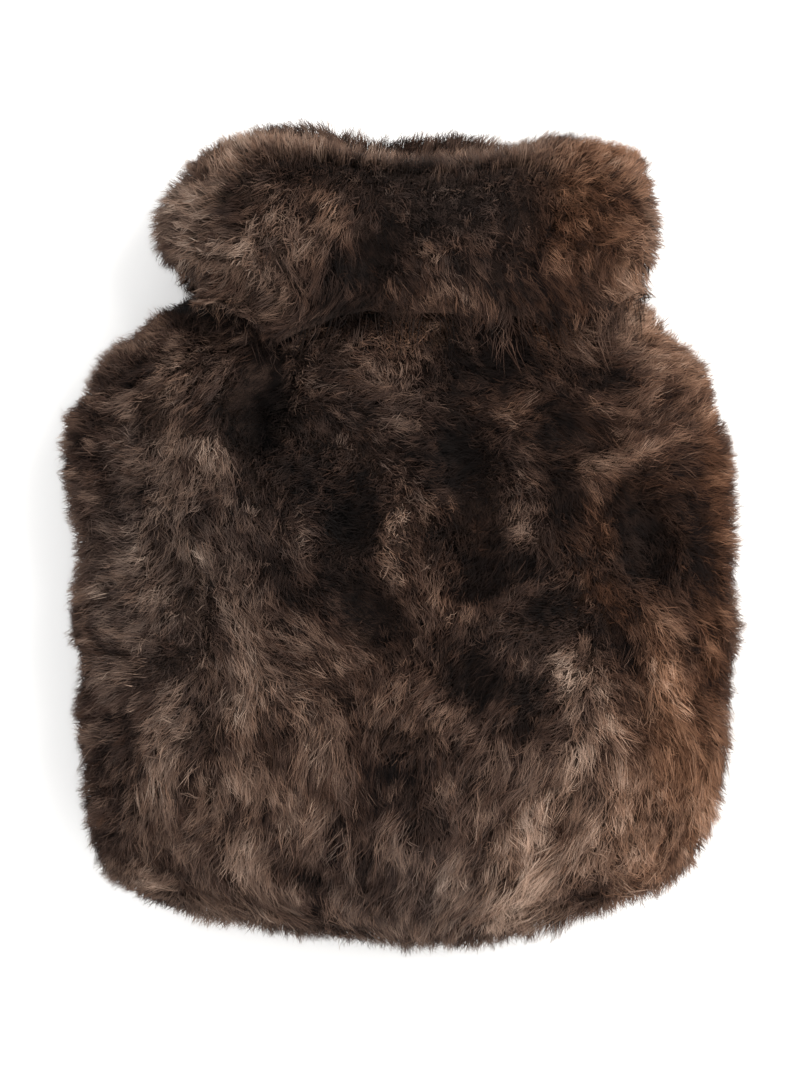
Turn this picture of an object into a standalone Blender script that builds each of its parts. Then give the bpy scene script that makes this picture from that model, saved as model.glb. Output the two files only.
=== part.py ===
"""Hot water bottle cover of sheepskin, wool side out, lying on its back.

Metres, +Z up. The cover rests on Z = 0. +Y points to its mouth and +X to the right of
someone who looks at its front. The origin lies under the middle of its bounding box.

Two bottle-shaped panels are sewn together along the sides and round the bottom. A ring-shaped
collar stands in the mouth, rolls over the neck's top edge and falls down over the neck.
Each solid holds hide and wool together, and reaches as far as the wool does.
"""

import bpy
import bmesh
import numpy as np

COVER = "hot_water_bottle_cover"
MM = 0.001


def table(columns, rows):
    """Rows of millimetres as named columns of metres. A column named turn is in degrees."""
    named = zip(columns.split(), zip(*rows))
    return {name: np.radians(values) if name == "turn" else np.array(values) * MM for name, values in named}


# Heights and thicknesses
SEAM_HEIGHT = 0.030  # the sewn edge of the two panels, over the surface
SEWN_GAP = 0.0003  # between pieces that are sewn edge to edge
LAID_GAP = 0.0010  # between the collar and the neck that it lies on
ROUNDNESS = 2.5  # power of the ovals that all cross-sections follow: 2 is an ellipse
END_POWER = 2.2  # power of the round in which the wool closes at the bottom
LEAST_HIDE = 0.3  # of the wool's width, below the bottom seam

# Lengths along the cover
BOTTOM_Y = -0.1700  # ends of the wool at the bottom
HIDE_BOTTOM_Y = -0.1510  # the bottom seam
FULL_Y = -0.0900  # from here up the body has its full height
SHOULDER_Y = 0.0740  # where the shoulders start to draw in to the neck
NECK_FOOT_Y = 0.1080  # where the neck starts
NECK_TOP_Y = 0.1360  # cut edge of the panels in the mouth
STAND_END_Y = 0.1250  # how deep the collar's stand reaches into the mouth

# Outline of the wool on the two panels, one row for each level up the cover
OUTLINE = table(
    "y left right",
    (
        (-170.0, 2, 30),
        (-167.0, -32, 46),
        (-162.5, -60, 59),
        (-154.0, -97, 87),
        (-146.0, -114, 108),
        (-138.0, -123, 118),
        (-129.5, -128, 124),
        (-121.5, -130, 128),
        (-105.0, -132, 133),
        (-88.5, -133, 136),
        (-72.0, -135, 136),
        (-56.0, -133, 138),
        (-39.5, -137, 140),
        (-23.0, -136, 138),
        (-6.5, -134, 139),
        (10.0, -137, 138),
        (26.0, -140, 138),
        (42.5, -139, 134),
        (51.0, -137, 130),
        (59.0, -131, 129),
        (67.0, -127, 126),
        (75.5, -121, 119),
        (84.0, -109, 110),
        (91.5, -101, 105),
        (96.0, -91, 101),
        (100.0, -85, 94),
        (104.0, -81, 87),
        (108.0, -80, 83.5),
        (136.0, -78, 80),
    ),
)

# Reach of wool and hide from the seam's level, and the wool's depth at the side seams
DEPTHS = table(
    "y front_wool front_hide back_wool back_hide side_wool",
    (
        (-90, 36, 13, 37, 14, 20),
        (40, 36, 13, 37, 14, 20),
        (66, 33, 13, 35, 13, 18),
        (80, 28, 13.5, 29, 13.5, 14),
        (90, 23.5, 14, 23, 14, 9),
        (98, 21, 14, 20, 14, 6.5),
        (106, 20, 14, 19, 14, 6),
        (136, 20, 14, 19, 14, 6),
    ),
)

# Hollows of the front, and ridges where depth is negative: the middle, the half length and half width,
# how far in, and how the length is turned from +X
FRONT_FOLDS = table(
    "x y half_length half_width depth turn",
    (
        (-57, 50, 24, 9, 8, 90),
        (-20, 7, 12, 9, 4, 90),
        (-12, -31, 12, 10, 5, 60),
        (28, 10, 32, 10, 5, 100),
        (26, -55, 10, 9, 3, 90),
        (72, 40, 12, 8, 3, 40),
        (100, -3, 10, 9, 7, 90),
        (92, 9, 26, 8, 3, 12),
        (78, 26, 26, 9, -4, 15),
        (-90, -18, 30, 8, 3, 92),
        (-115, 20, 34, 9, 3, 84),
    ),
)

# The same for the collar's front: the crease left of its middle, the fold on its right, the full left lobe
COLLAR_FOLDS = table(
    "x y half_length half_width depth turn",
    (
        (-14, 108, 20, 8, 6, 58),
        (45, 118, 26, 10, 3, 80),
        (-62, 118, 24, 12, -3, 95),
    ),
)

# Outline of the collar's wool from its hem up to where it rolls over
COLLAR_OUTLINE = table(
    "y left right top bottom",
    (
        (86, -92, 103, 37, 27),
        (93, -95, 105, 39, 30),
        (101, -96, 105.5, 39.5, 33),
        (110, -98, 106.5, 39.5, 35),
        (122, -102, 107, 40, 36),
        (134, -99.5, 105.5, 39, 36),
        (143, -95, 104, 37, 34.5),
        (150, -91, 102.5, 33, 31),
    ),
)

# Levels of the collar's hem across the cover, in front and behind
HEM = table(
    "x front back",
    (
        (-93, 99, 99),
        (-84, 96, 94),
        (-66, 86, 88),
        (-46, 80, 86),
        (-20, 82, 85),
        (6, 86, 85),
        (30, 88, 85),
        (60, 88, 86),
        (84, 93, 92),
        (97, 102, 102),
    ),
)

# Levels of the collar's roll across the cover, in front and behind: the mouth gapes in the middle
ROLL = table(
    "x front back",
    (
        (-79, 156, 156),
        (-72, 161, 163),
        (-52, 161, 170),
        (-36, 159, 168),
        (-14, 153, 165),
        (6, 149, 162),
        (26, 151, 164),
        (50, 157, 165),
        (70, 160, 165),
        (81, 156, 156),
    ),
)

STAND_WOOL = 0.0055  # the collar's wool inside the mouth, pressed thin
STAND_SHOULDER = 0.0040  # from the neck's cut edge up to where the stand bends into the roll
HEM_WOOL = 0.0065  # the collar's wool at its hem
HEM_SHARE = 0.25  # share of the fall over which it swells from the hem to its full depth
HEM_SPREAD = 1.18  # how much wider the hem runs than the neck
ROLL_RISE = 0.006  # least rise of the roll over the fall's last ring
ROLL_TURNS = np.radians((30, 60, 90, 125))  # rings over the roll: 90 is its ridge
FOLD_FADE = 0.4  # folds fade out below this share of the front's height

# Levels up a panel, points round a section, and rings along the collar's section
FIRST_TURN = 0.03  # of the bottom's quarter round, so that its first section isn't a point
END_LEVELS, BODY_LEVELS, SHOULDER_LEVELS, NECK_LEVELS = 9, 20, 9, 4
FRONT_POINTS, BACK_POINTS, HIDE_POINTS, COLLAR_POINTS = 37, 27, 13, 60
FALL_RINGS, LINING_RINGS = 9, 6


def through(at, stations, values):
    """Smooth curve through the values at the stations, with the slope of the chords on either side."""
    slopes = np.gradient(values, stations)
    i = np.clip(np.searchsorted(stations, at) - 1, 0, len(stations) - 2)
    step = stations[i + 1] - stations[i]
    s = np.clip((at - stations[i]) / step, 0, 1)
    start = (1 + 2 * s) * (1 - s) ** 2 * values[i] + s * (1 - s) ** 2 * step * slopes[i]
    end = s * s * (3 - 2 * s) * values[i + 1] + s * s * (s - 1) * step * slopes[i + 1]
    return start + end


def closing(y, end_y, power):
    """1 on the body, falling in a round to 0 at end_y, as a pad's edge does."""
    s = np.clip((FULL_Y - y) / (FULL_Y - end_y), 0, 1)
    return (1 - s**power) ** (1 / power)


def oval(angle, left, right, height):
    """X and Z of a superellipse between left and right at the seam's level. Height may be two-sided."""
    across, up = np.cos(angle), np.sin(angle)
    x = (left + right) / 2 + (right - left) / 2 * np.sign(across) * np.abs(across) ** (2 / ROUNDNESS)
    return x, height * np.sign(up) * np.abs(up) ** (2 / ROUNDNESS)


def hollow(x, y, folds):
    """How far the folds sink the wool in at x, y: each is a long round trough with soft ends."""
    depth = np.zeros(np.broadcast(x, y).shape)
    for fold_x, fold_y, length, width, sink, turn in zip(*folds.values()):
        along = (x - fold_x) * np.cos(turn) + (y - fold_y) * np.sin(turn)
        aside = (y - fold_y) * np.cos(turn) - (x - fold_x) * np.sin(turn)
        depth += sink * np.exp(-((along / length) ** 2) - (aside / width) ** 2)
    return depth


def wool_heights(y):
    """Reach of the wool above and below the seam at y."""
    front = through(y, DEPTHS["y"], DEPTHS["front_wool"]) * closing(y, BOTTOM_Y, END_POWER)
    back = through(y, DEPTHS["y"], DEPTHS["back_wool"]) * closing(y, BOTTOM_Y, END_POWER)
    return front, back


def hide_heights(y):
    """Reach of the hide above and below the seam at y."""
    front = through(y, DEPTHS["y"], DEPTHS["front_hide"]) * closing(y, HIDE_BOTTOM_Y, 2)
    back = through(y, DEPTHS["y"], DEPTHS["back_hide"]) * closing(y, HIDE_BOTTOM_Y, 2)
    return front, back


def wool_points(angle, y, spread=0.0):
    """X and height over the seam of the panels' wool at an angle round the cover, spread further out."""
    left = through(y, OUTLINE["y"], OUTLINE["left"]) - spread
    right = through(y, OUTLINE["y"], OUTLINE["right"]) + spread
    front, back = wool_heights(y)
    return oval(angle, left, right, np.where(np.sin(angle) >= 0, front, back) + spread)


def hide_points(angle, y, spread=0.0):
    """X and height over the seam of the panels' hide at an angle round the cover, spread further out."""
    side = through(y, DEPTHS["y"], DEPTHS["side_wool"]) - spread
    left = through(y, OUTLINE["y"], OUTLINE["left"])
    right = through(y, OUTLINE["y"], OUTLINE["right"])
    middle, half = (left + right) / 2, (right - left) / 2
    half = np.maximum(half - side, half * LEAST_HIDE)
    front, back = hide_heights(y)
    return oval(angle, middle - half, middle + half, np.where(np.sin(angle) >= 0, front, back) + spread)


def sheepskin(name, colour):
    """Matt material in the wool's own colour."""
    material = bpy.data.materials.new(name + "_sheepskin")
    material.use_nodes = True
    surface = material.node_tree.nodes["Principled BSDF"]
    surface.inputs["Base Color"].default_value = (*colour, 1)
    surface.inputs["Roughness"].default_value = 0.9
    surface.inputs["Metallic"].default_value = 0.0
    return material


def loft(name, rings, colour, closed_up):
    """Object whose skin joins rings of as many points each, closed to a loop or capped at both ends."""
    rows, count = rings.shape[:2]
    number = np.arange(rows * count).reshape(rows, count)
    if closed_up:
        number = np.vstack((number, number[:1]))
    near, far = number[:-1], number[1:]
    corners = (near, np.roll(near, -1, 1), np.roll(far, -1, 1), far)
    faces = np.stack(corners, axis=-1).reshape(-1, 4).tolist()
    if not closed_up:
        faces += [number[0].tolist(), number[-1][::-1].tolist()]

    mesh = bpy.data.meshes.new(name)
    mesh.from_pydata(rings.reshape(-1, 3).tolist(), [], faces)
    shape = bmesh.new()
    shape.from_mesh(mesh)
    bmesh.ops.triangulate(shape, faces=shape.faces)
    bmesh.ops.recalc_face_normals(shape, faces=shape.faces)
    shape.to_mesh(mesh)
    shape.free()
    mesh.shade_smooth()
    mesh.set_sharp_from_angle(angle=np.radians(50))
    mesh.materials.append(sheepskin(name, colour))

    piece = bpy.data.objects.new(name, mesh)
    bpy.data.collections[COVER].objects.link(piece)
    piece.parent = bpy.data.objects["cover_origin"]
    return piece


def panel_levels():
    """Levels up a panel, close together where the bottom rounds off and where shoulders meet neck."""
    turn = np.linspace(FIRST_TURN, np.pi / 2, END_LEVELS, endpoint=False)
    end = FULL_Y + (BOTTOM_Y - FULL_Y) * np.cos(turn) ** (2 / END_POWER)
    body = np.linspace(FULL_Y, SHOULDER_Y, BODY_LEVELS, endpoint=False)
    shoulder = np.linspace(SHOULDER_Y, NECK_FOOT_Y, SHOULDER_LEVELS, endpoint=False)
    return np.concatenate((end, body, shoulder, np.linspace(NECK_FOOT_Y, NECK_TOP_Y, NECK_LEVELS)))


def panel(name, upward, points, colour):
    """One panel: at each level a crescent, wool on its outer arc and hide on its inner one.

    The arcs meet in the flat of the seam. The back panel's wool is pressed flat on the surface.
    """
    y = panel_levels()[:, None]
    side = 1 if upward else -1
    outer = side * np.linspace(np.pi, 0, points)[None, :]
    inner = side * np.linspace(0, np.pi, HIDE_POINTS)[None, :]
    wool_x, wool_z = wool_points(outer, y)
    if upward:
        share = np.clip(wool_z / (FOLD_FADE * wool_heights(y)[0]), 0, 1)
        wool_z = wool_z - share * hollow(wool_x, y, FRONT_FOLDS)
    hide_x, hide_z = hide_points(inner, y)
    x = np.hstack((wool_x, hide_x))
    z = SEAM_HEIGHT + side * SEWN_GAP / 2 + np.hstack((wool_z, hide_z))
    rings = np.stack((x, np.broadcast_to(y, x.shape), np.maximum(z, 0)), axis=-1)
    return loft(name, rings, colour, closed_up=False)


def collar_fall(angle, hem, roll):
    """Points of the fall's rings, from the hem up its outside to where the roll starts."""
    front = np.sin(angle) >= 0
    levels = COLLAR_OUTLINE["y"]
    for share in np.linspace(0, 1, FALL_RINGS):
        level = levels[0] + share * (levels[-1] - levels[0])
        columns = "left right top bottom".split()
        left, right, top, bottom = (through(level, levels, COLLAR_OUTLINE[name]) for name in columns)
        y = hem + share * (np.minimum(levels[-1], roll - ROLL_RISE) - hem)
        full_x, full_height = oval(angle, left, right, np.where(front, top, bottom))
        thin_x, thin_height = wool_points(angle, y, LAID_GAP + HEM_WOOL)
        swell = np.sin(min(share / HEM_SHARE, 1) * np.pi / 2)
        x = thin_x + swell * (full_x - thin_x)
        height = thin_height + swell * (full_height - thin_height)
        fade = np.clip(height / (FOLD_FADE * top), 0, 1) * swell
        yield x, y, height - fade * hollow(x, y, COLLAR_FOLDS)


def collar_roll(angle, roll, fall_end):
    """Points of the rings from the fall's end over the roll, down the stand and up behind it."""
    level = np.full_like(angle, NECK_TOP_Y)
    fall_x, fall_y, fall_height = fall_end
    stand_x, stand_height = hide_points(angle, level, -LAID_GAP - STAND_WOOL)
    for turn in ROLL_TURNS:
        part = (1 - np.cos(turn)) / 2
        x = fall_x + (stand_x - fall_x) * part
        height = fall_height + (stand_height - fall_height) * part
        yield x, fall_y + (roll - fall_y) * np.sin(turn), height
    yield stand_x, level + STAND_SHOULDER, stand_height
    yield stand_x, np.full_like(angle, STAND_END_Y), stand_height
    behind_x, behind_height = hide_points(angle, level, -LAID_GAP)
    yield behind_x, np.full_like(angle, STAND_END_Y), behind_height
    yield behind_x, level + SEWN_GAP, behind_height


def collar_inside(angle, hem):
    """Points of the rings from the neck's cut edge down over the neck's wool to the hem."""
    levels = [np.full_like(angle, NECK_TOP_Y + SEWN_GAP), np.full_like(angle, (NECK_TOP_Y + NECK_FOOT_Y) / 2)]
    levels += [NECK_FOOT_Y + share * (hem - NECK_FOOT_Y) for share in np.linspace(0, 1, LINING_RINGS)]
    for y in levels:
        x, height = wool_points(angle, y, LAID_GAP)
        yield x, y, height


def collar(name, colour):
    """The collar: closed rings one after another along its hooked section."""
    angle = np.linspace(0, 2 * np.pi, COLLAR_POINTS, endpoint=False)
    neck_x = wool_points(angle, np.full_like(angle, NECK_TOP_Y))[0]

    def edge(levels, x):
        ahead, behind = (through(x, levels["x"], levels[side]) for side in ("front", "back"))
        return np.where(np.sin(angle) >= 0, ahead, behind)

    hem, roll = edge(HEM, neck_x * HEM_SPREAD), edge(ROLL, neck_x)
    fall = list(collar_fall(angle, hem, roll))
    section = fall + list(collar_roll(angle, roll, fall[-1])) + list(collar_inside(angle, hem))
    rings = [np.stack((x, y, np.maximum(SEAM_HEIGHT + height, 0)), axis=-1) for x, y, height in section]
    return loft(name, np.array(rings), colour, closed_up=True)


def build():
    for old in list(bpy.data.objects):
        bpy.data.objects.remove(old, do_unlink=True)
    pieces = bpy.data.collections.new(COVER)
    bpy.context.scene.collection.children.link(pieces)
    origin = bpy.data.objects.new("cover_origin", None)
    pieces.objects.link(origin)

    panel("front_panel", True, FRONT_POINTS, (0.075, 0.048, 0.036))
    panel("back_panel", False, BACK_POINTS, (0.068, 0.045, 0.034))
    collar("collar", (0.070, 0.044, 0.036))


build()
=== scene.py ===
"""Hot water bottle cover of brown sheepskin, wool side out, lying on its back.

Metres, +Z up. +Y points to the mouth and its turned-down collar, +X to the right of someone who looks at
the front. Each skin is a thin hide with its wool: a dense bed of wool, an undercoat, and locks over it.
"""

import bpy
import numpy as np
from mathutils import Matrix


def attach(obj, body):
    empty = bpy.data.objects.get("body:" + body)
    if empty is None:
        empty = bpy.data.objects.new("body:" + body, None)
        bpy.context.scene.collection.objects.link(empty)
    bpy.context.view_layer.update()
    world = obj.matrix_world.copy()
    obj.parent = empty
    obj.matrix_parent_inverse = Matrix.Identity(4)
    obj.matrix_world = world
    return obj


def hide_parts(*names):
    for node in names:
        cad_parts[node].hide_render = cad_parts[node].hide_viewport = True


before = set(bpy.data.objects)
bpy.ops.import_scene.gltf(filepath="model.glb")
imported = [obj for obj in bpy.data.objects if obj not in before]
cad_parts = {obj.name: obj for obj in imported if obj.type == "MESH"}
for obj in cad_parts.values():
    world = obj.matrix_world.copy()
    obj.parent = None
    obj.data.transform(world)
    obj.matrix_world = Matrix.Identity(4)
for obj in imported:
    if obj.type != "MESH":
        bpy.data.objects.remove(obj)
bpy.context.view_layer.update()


# ---------------------------------------------------------------------------------------------------
# Surface, light and camera
# A plain white table top, lit softly from above right as by a big window, with white walls around.
# The camera hangs straight over the cover, so that one pixel of the photo is 0.41 mm at its seam.
# ---------------------------------------------------------------------------------------------------

MM = 0.001
SEAM_HEIGHT = 0.030  # the sewn edge of the two panels, over the table
CAMERA_HEIGHT = 0.95  # over the seam
FRAME_PIXELS, PIXEL = 800, 0.00041  # across the frame, and what one shows at the seam's height
SENSOR = 36  # the camera sensor's width in millimetres
TABLE_REACH = 20  # so far that the table's edge never shows
LIT_POINT, LAMP_SIZE = (0, 0, 0.03), 0.9

scene = bpy.context.scene
scene.view_settings.view_transform = "Standard"

table_mesh = bpy.data.meshes.new("table_top")
table_corners = [(TABLE_REACH * x, TABLE_REACH * y, 0) for x, y in ((-1, -1), (1, -1), (1, 1), (-1, 1))]
table_mesh.from_pydata(table_corners, [], [(0, 1, 2, 3)])
table_top = bpy.data.objects.new("table_top", table_mesh)
scene.collection.objects.link(table_top)
white_paint = bpy.data.materials.new("white_table")
white_paint.use_nodes = True
for socket, value in (
    ("Base Color", (0.92, 0.92, 0.92, 1)),
    ("Roughness", 0.85),
    ("Emission Color", (1, 1, 1, 1)),
    ("Emission Strength", 0.22),
):
    white_paint.node_tree.nodes["Principled BSDF"].inputs[socket].default_value = value
table_mesh.materials.append(white_paint)

walls = bpy.data.worlds.new("white_walls")
walls.use_nodes = True
walls.node_tree.nodes["Background"].inputs["Color"].default_value = (1.0, 0.985, 0.965, 1)
walls.node_tree.nodes["Background"].inputs["Strength"].default_value = 0.85
scene.world = walls


def window(name, place, power, colour):
    """A square soft light at a place, turned by the two angles of its way to the point that it lights."""
    lamp = bpy.data.lights.new(name, "AREA")
    lamp.size = LAMP_SIZE
    lamp.energy = power
    lamp.color = colour
    light = bpy.data.objects.new(name, lamp)
    towards = np.array(LIT_POINT) - np.array(place)
    light.location = place
    light.rotation_euler = (
        np.arctan2(np.hypot(towards[0], towards[1]), -towards[2]),
        0,
        np.arctan2(-towards[0], towards[1]),
    )
    scene.collection.objects.link(light)


window("window_light", (0.85, 0.55, 0.95), 19, (1.0, 0.965, 0.92))
window("far_wall_light", (-0.9, 0.3, 0.9), 3.5, (0.95, 0.97, 1.0))
window("near_wall_light", (0.75, -0.7, 0.7), 6, (1.0, 0.97, 0.94))

view = bpy.data.cameras.new("camera")
view.sensor_fit = "HORIZONTAL"
view.sensor_width = SENSOR
view.lens = SENSOR * CAMERA_HEIGHT / (FRAME_PIXELS * PIXEL)
camera = bpy.data.objects.new("camera", view)
camera.location = (0, 0, SEAM_HEIGHT + CAMERA_HEIGHT)
scene.collection.objects.link(camera)
scene.camera = camera


# ---------------------------------------------------------------------------------------------------
# Hides of the two panels
# Tanned sheep's hide, 1.2 mm thick with a suede nap inside, cut to the shape of the bottle and sewn
# together along the sides and round the bottom. They line the pocket, because there is no other lining.
# ---------------------------------------------------------------------------------------------------

HIDE = 0.0012  # the skin's own thickness
SEWN_GAP = 0.0003  # between two skins at a seam
ROUNDNESS = 2.5  # power of the ovals that all cross-sections follow
HIDE_BOTTOM_Y, BOTTOM_Y = -0.1510, -0.1700  # the bottom seam, and where the wool under it ends
FULL_Y = -0.0900  # from here up the body has its full height
NECK_TOP_Y = 0.1360  # the cut edge round the mouth
HIDE_EDGE_GAP = 0.0005  # from the hide's edge up to that level
HIDE_EASE = 0.0002  # how far the hides stand outside the pocket's shape
HIDE_LEVELS, HIDE_COLUMNS = (12, 34), 37  # levels in the bottom's round and up the body, and columns
HIDE_ROUND, WOOL_ROUND = 2, 2.2  # powers of the bottom's round, on the hide and where the wool ends
LEAST_HALF = 0.15  # the hide's least half width, as a share of the wool's width
FIRST_TURN, LEVEL_SPREAD = 0.02, 0.95  # angle of the lowest level, and how the levels of the round spread


def table(columns, rows):
    """Rows of millimetres as named columns of metres."""
    return {name: np.array(values) * MM for name, values in zip(columns.split(), zip(*rows))}


# Outline of the wool on the two panels
OUTLINE = table(
    "y left right",
    (
        (-170.0, 2, 30),
        (-167.0, -32, 46),
        (-162.5, -60, 59),
        (-154.0, -97, 87),
        (-146.0, -114, 108),
        (-138.0, -123, 118),
        (-129.5, -128, 124),
        (-121.5, -130, 128),
        (-105.0, -132, 133),
        (-88.5, -133, 136),
        (-72.0, -135, 136),
        (-56.0, -133, 138),
        (-39.5, -137, 140),
        (-23.0, -136, 138),
        (-6.5, -134, 139),
        (10.0, -137, 138),
        (26.0, -140, 138),
        (42.5, -139, 134),
        (51.0, -137, 130),
        (59.0, -131, 129),
        (67.0, -127, 126),
        (75.5, -121, 119),
        (84.0, -109, 110),
        (91.5, -101, 105),
        (96.0, -91, 101),
        (100.0, -85, 94),
        (104.0, -81, 87),
        (108.0, -80, 83.5),
        (136.0, -78, 80),
    ),
)

# Reach of wool and hide from the seam's level, and the wool's depth at the side seams
DEPTHS = table(
    "y front_wool front_hide back_wool back_hide side_wool",
    (
        (-90, 36, 13, 37, 14, 20),
        (40, 36, 13, 37, 14, 20),
        (66, 33, 13, 35, 13, 18),
        (80, 28, 13.5, 29, 13.5, 14),
        (90, 23.5, 14, 23, 14, 9),
        (98, 21, 14, 20, 14, 6.5),
        (106, 20, 14, 19, 14, 6),
        (136, 20, 14, 19, 14, 6),
    ),
)


def through(at, stations, values):
    """Smooth curve through the values at the stations: a cubic with the slopes of the chords beside it."""
    slopes = np.gradient(values, stations)
    i = np.clip(np.searchsorted(stations, at) - 1, 0, len(stations) - 2)
    step = stations[i + 1] - stations[i]
    s = np.clip((at - stations[i]) / step, 0, 1)
    start = (1 + 2 * s) * (1 - s) ** 2 * values[i] + s * (1 - s) ** 2 * step * slopes[i]
    end = s * s * (3 - 2 * s) * values[i + 1] + s * s * (s - 1) * step * slopes[i + 1]
    return start + end


def closing(y, end_y, power):
    """1 on the body, falling in a round to 0 at end_y: (1 - s^power)^(1/power), s from 0 to 1."""
    s = np.clip((FULL_Y - y) / (FULL_Y - end_y), 0, 1)
    return (1 - s**power) ** (1 / power)


def oval(angle, left, right, height):
    """X and height of the superellipse |x|^R + |z|^R = 1 between left and right."""
    across, up = np.cos(angle), np.sin(angle)
    x = (left + right) / 2 + (right - left) / 2 * np.sign(across) * np.abs(across) ** (2 / ROUNDNESS)
    return x, height * np.sign(up) * np.abs(up) ** (2 / ROUNDNESS)


def hide_points(angle, y, spread=0.0):
    """X and height over the seam of the panels' hide at an angle round the cover, spread further out."""
    left, right = (through(y, OUTLINE["y"], OUTLINE[name]) for name in ("left", "right"))
    side = through(y, DEPTHS["y"], DEPTHS["side_wool"]) - spread
    half = np.maximum((right - left) / 2 - side, (right - left) * LEAST_HALF)
    front = through(y, DEPTHS["y"], DEPTHS["front_hide"]) * closing(y, HIDE_BOTTOM_Y, HIDE_ROUND)
    back = through(y, DEPTHS["y"], DEPTHS["back_hide"]) * closing(y, HIDE_BOTTOM_Y, HIDE_ROUND)
    middle = (left + right) / 2
    return oval(angle, middle - half, middle + half, np.where(np.sin(angle) >= 0, front, back) + spread)


def levels_between(lowest, highest, end_count, body_count):
    """Levels up a panel: evenly in the angle of the bottom's quarter round, then evenly up the body."""
    turn = np.linspace(FIRST_TURN, np.pi / 2, end_count, endpoint=False)
    end = FULL_Y + (lowest - FULL_Y) * np.cos(turn) ** LEVEL_SPREAD
    return np.concatenate((end, np.linspace(FULL_Y, highest, body_count)))


def joined(name, rings, loops, ends):
    """Object whose skin joins rings of points. With loops, each ring closes on itself.

    The first and last ring are left open, capped, or joined to each other all round.
    """
    rows, count = rings.shape[:2]
    number = np.arange(rows * count).reshape(rows, count)
    if loops:
        number = np.hstack((number, number[:, :1]))
    if ends == "round":
        number = np.vstack((number, number[:1]))
    corners = (number[:-1, :-1], number[:-1, 1:], number[1:, 1:], number[1:, :-1])
    faces = np.stack(corners, axis=-1).reshape(-1, 4).tolist()
    if ends == "capped":
        faces += [number[0, :count].tolist()[::-1], number[-1, :count].tolist()]
    mesh = bpy.data.meshes.new(name)
    mesh.from_pydata(rings.reshape(-1, 3).tolist(), [], faces)
    mesh.shade_smooth()
    piece = bpy.data.objects.new(name, mesh)
    scene.collection.objects.link(piece)
    return piece


def noise_group(name, scales, low, high):
    """Node group: sum of fractal noises at the scales, mapped from low..high to 0..1."""
    group = bpy.data.node_groups.new(name, "ShaderNodeTree")
    group.interface.new_socket("Value", in_out="OUTPUT", socket_type="NodeSocketFloat")
    place = group.nodes.new("ShaderNodeTexCoord")
    last = None
    for scale in scales:
        noise = group.nodes.new("ShaderNodeTexNoise")
        noise.inputs["Scale"].default_value = scale
        noise.inputs["Detail"].default_value = 4
        group.links.new(place.outputs["Object"], noise.inputs["Vector"])
        if last is None:
            last = noise.outputs["Fac"]
        else:
            add = group.nodes.new("ShaderNodeMath")
            add.operation = "ADD"
            group.links.new(last, add.inputs[0])
            group.links.new(noise.outputs["Fac"], add.inputs[1])
            last = add.outputs[0]
    spread = group.nodes.new("ShaderNodeMapRange")
    spread.inputs["From Min"].default_value = low * len(scales)
    spread.inputs["From Max"].default_value = high * len(scales)
    group.links.new(last, spread.inputs["Value"])
    out = group.nodes.new("NodeGroupOutput")
    group.links.new(spread.outputs["Result"], out.inputs["Value"])
    return group


def ramp_node(tree, stops):
    """Colour ramp with these stops: place from 0 to 1, and colour."""
    ramp = tree.nodes.new("ShaderNodeValToRGB")
    ramp.color_ramp.elements.remove(ramp.color_ramp.elements[1])
    for number, (place, colour) in enumerate(stops):
        stop = ramp.color_ramp.elements[0] if number == 0 else ramp.color_ramp.elements.new(place)
        stop.position = place
        stop.color = (*colour, 1)
    return ramp


def suede_material():
    """Tanned hide: brown, with paler and darker clouds where the nap lies differently, and a fine grain."""
    material = bpy.data.materials.new("suede")
    material.use_nodes = True
    tree = material.node_tree
    surface = tree.nodes["Principled BSDF"]
    clouds = tree.nodes.new("ShaderNodeGroup")
    clouds.node_tree = noise_group("suede_clouds", (22, 90), 0.35, 0.65)
    tint = ramp_node(tree, ((0, (0.23, 0.145, 0.09)), (0.5, (0.34, 0.23, 0.15)), (1, (0.44, 0.32, 0.22))))
    tree.links.new(clouds.outputs["Value"], tint.inputs["Fac"])
    tree.links.new(tint.outputs["Color"], surface.inputs["Base Color"])
    grain = tree.nodes.new("ShaderNodeGroup")
    grain.node_tree = noise_group("suede_grain", (900, 2600), 0.3, 0.7)
    bump = tree.nodes.new("ShaderNodeBump")
    bump.inputs["Strength"].default_value = 0.5
    bump.inputs["Distance"].default_value = 0.0004
    tree.links.new(grain.outputs["Value"], bump.inputs["Height"])
    tree.links.new(bump.outputs["Normal"], surface.inputs["Normal"])
    surface.inputs["Roughness"].default_value = 0.92
    return material


suede = suede_material()


def panel_hide(name, side):
    """One panel's hide: the inner arc of the panel at each level, 1.2 mm thick outwards."""
    y = levels_between(HIDE_BOTTOM_Y, NECK_TOP_Y - HIDE_EDGE_GAP, *HIDE_LEVELS)[:, None]
    angle = side * np.linspace(0, np.pi, HIDE_COLUMNS)[None, :]
    x, height = hide_points(angle, y, HIDE_EASE)
    z = SEAM_HEIGHT + side * SEWN_GAP / 2 + height
    rings = np.stack((x, np.broadcast_to(y, x.shape), z), axis=-1)
    piece = joined(name, rings, loops=False, ends="open")
    if side > 0:
        piece.data.flip_normals()
    wall = piece.modifiers.new("hide_thickness", "SOLIDIFY")
    wall.thickness = HIDE
    wall.offset = -1
    piece.data.materials.append(suede)
    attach(piece, "root")
    return piece


front_hide = panel_hide("front_hide", 1)
back_hide = panel_hide("back_hide", -1)
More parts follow.
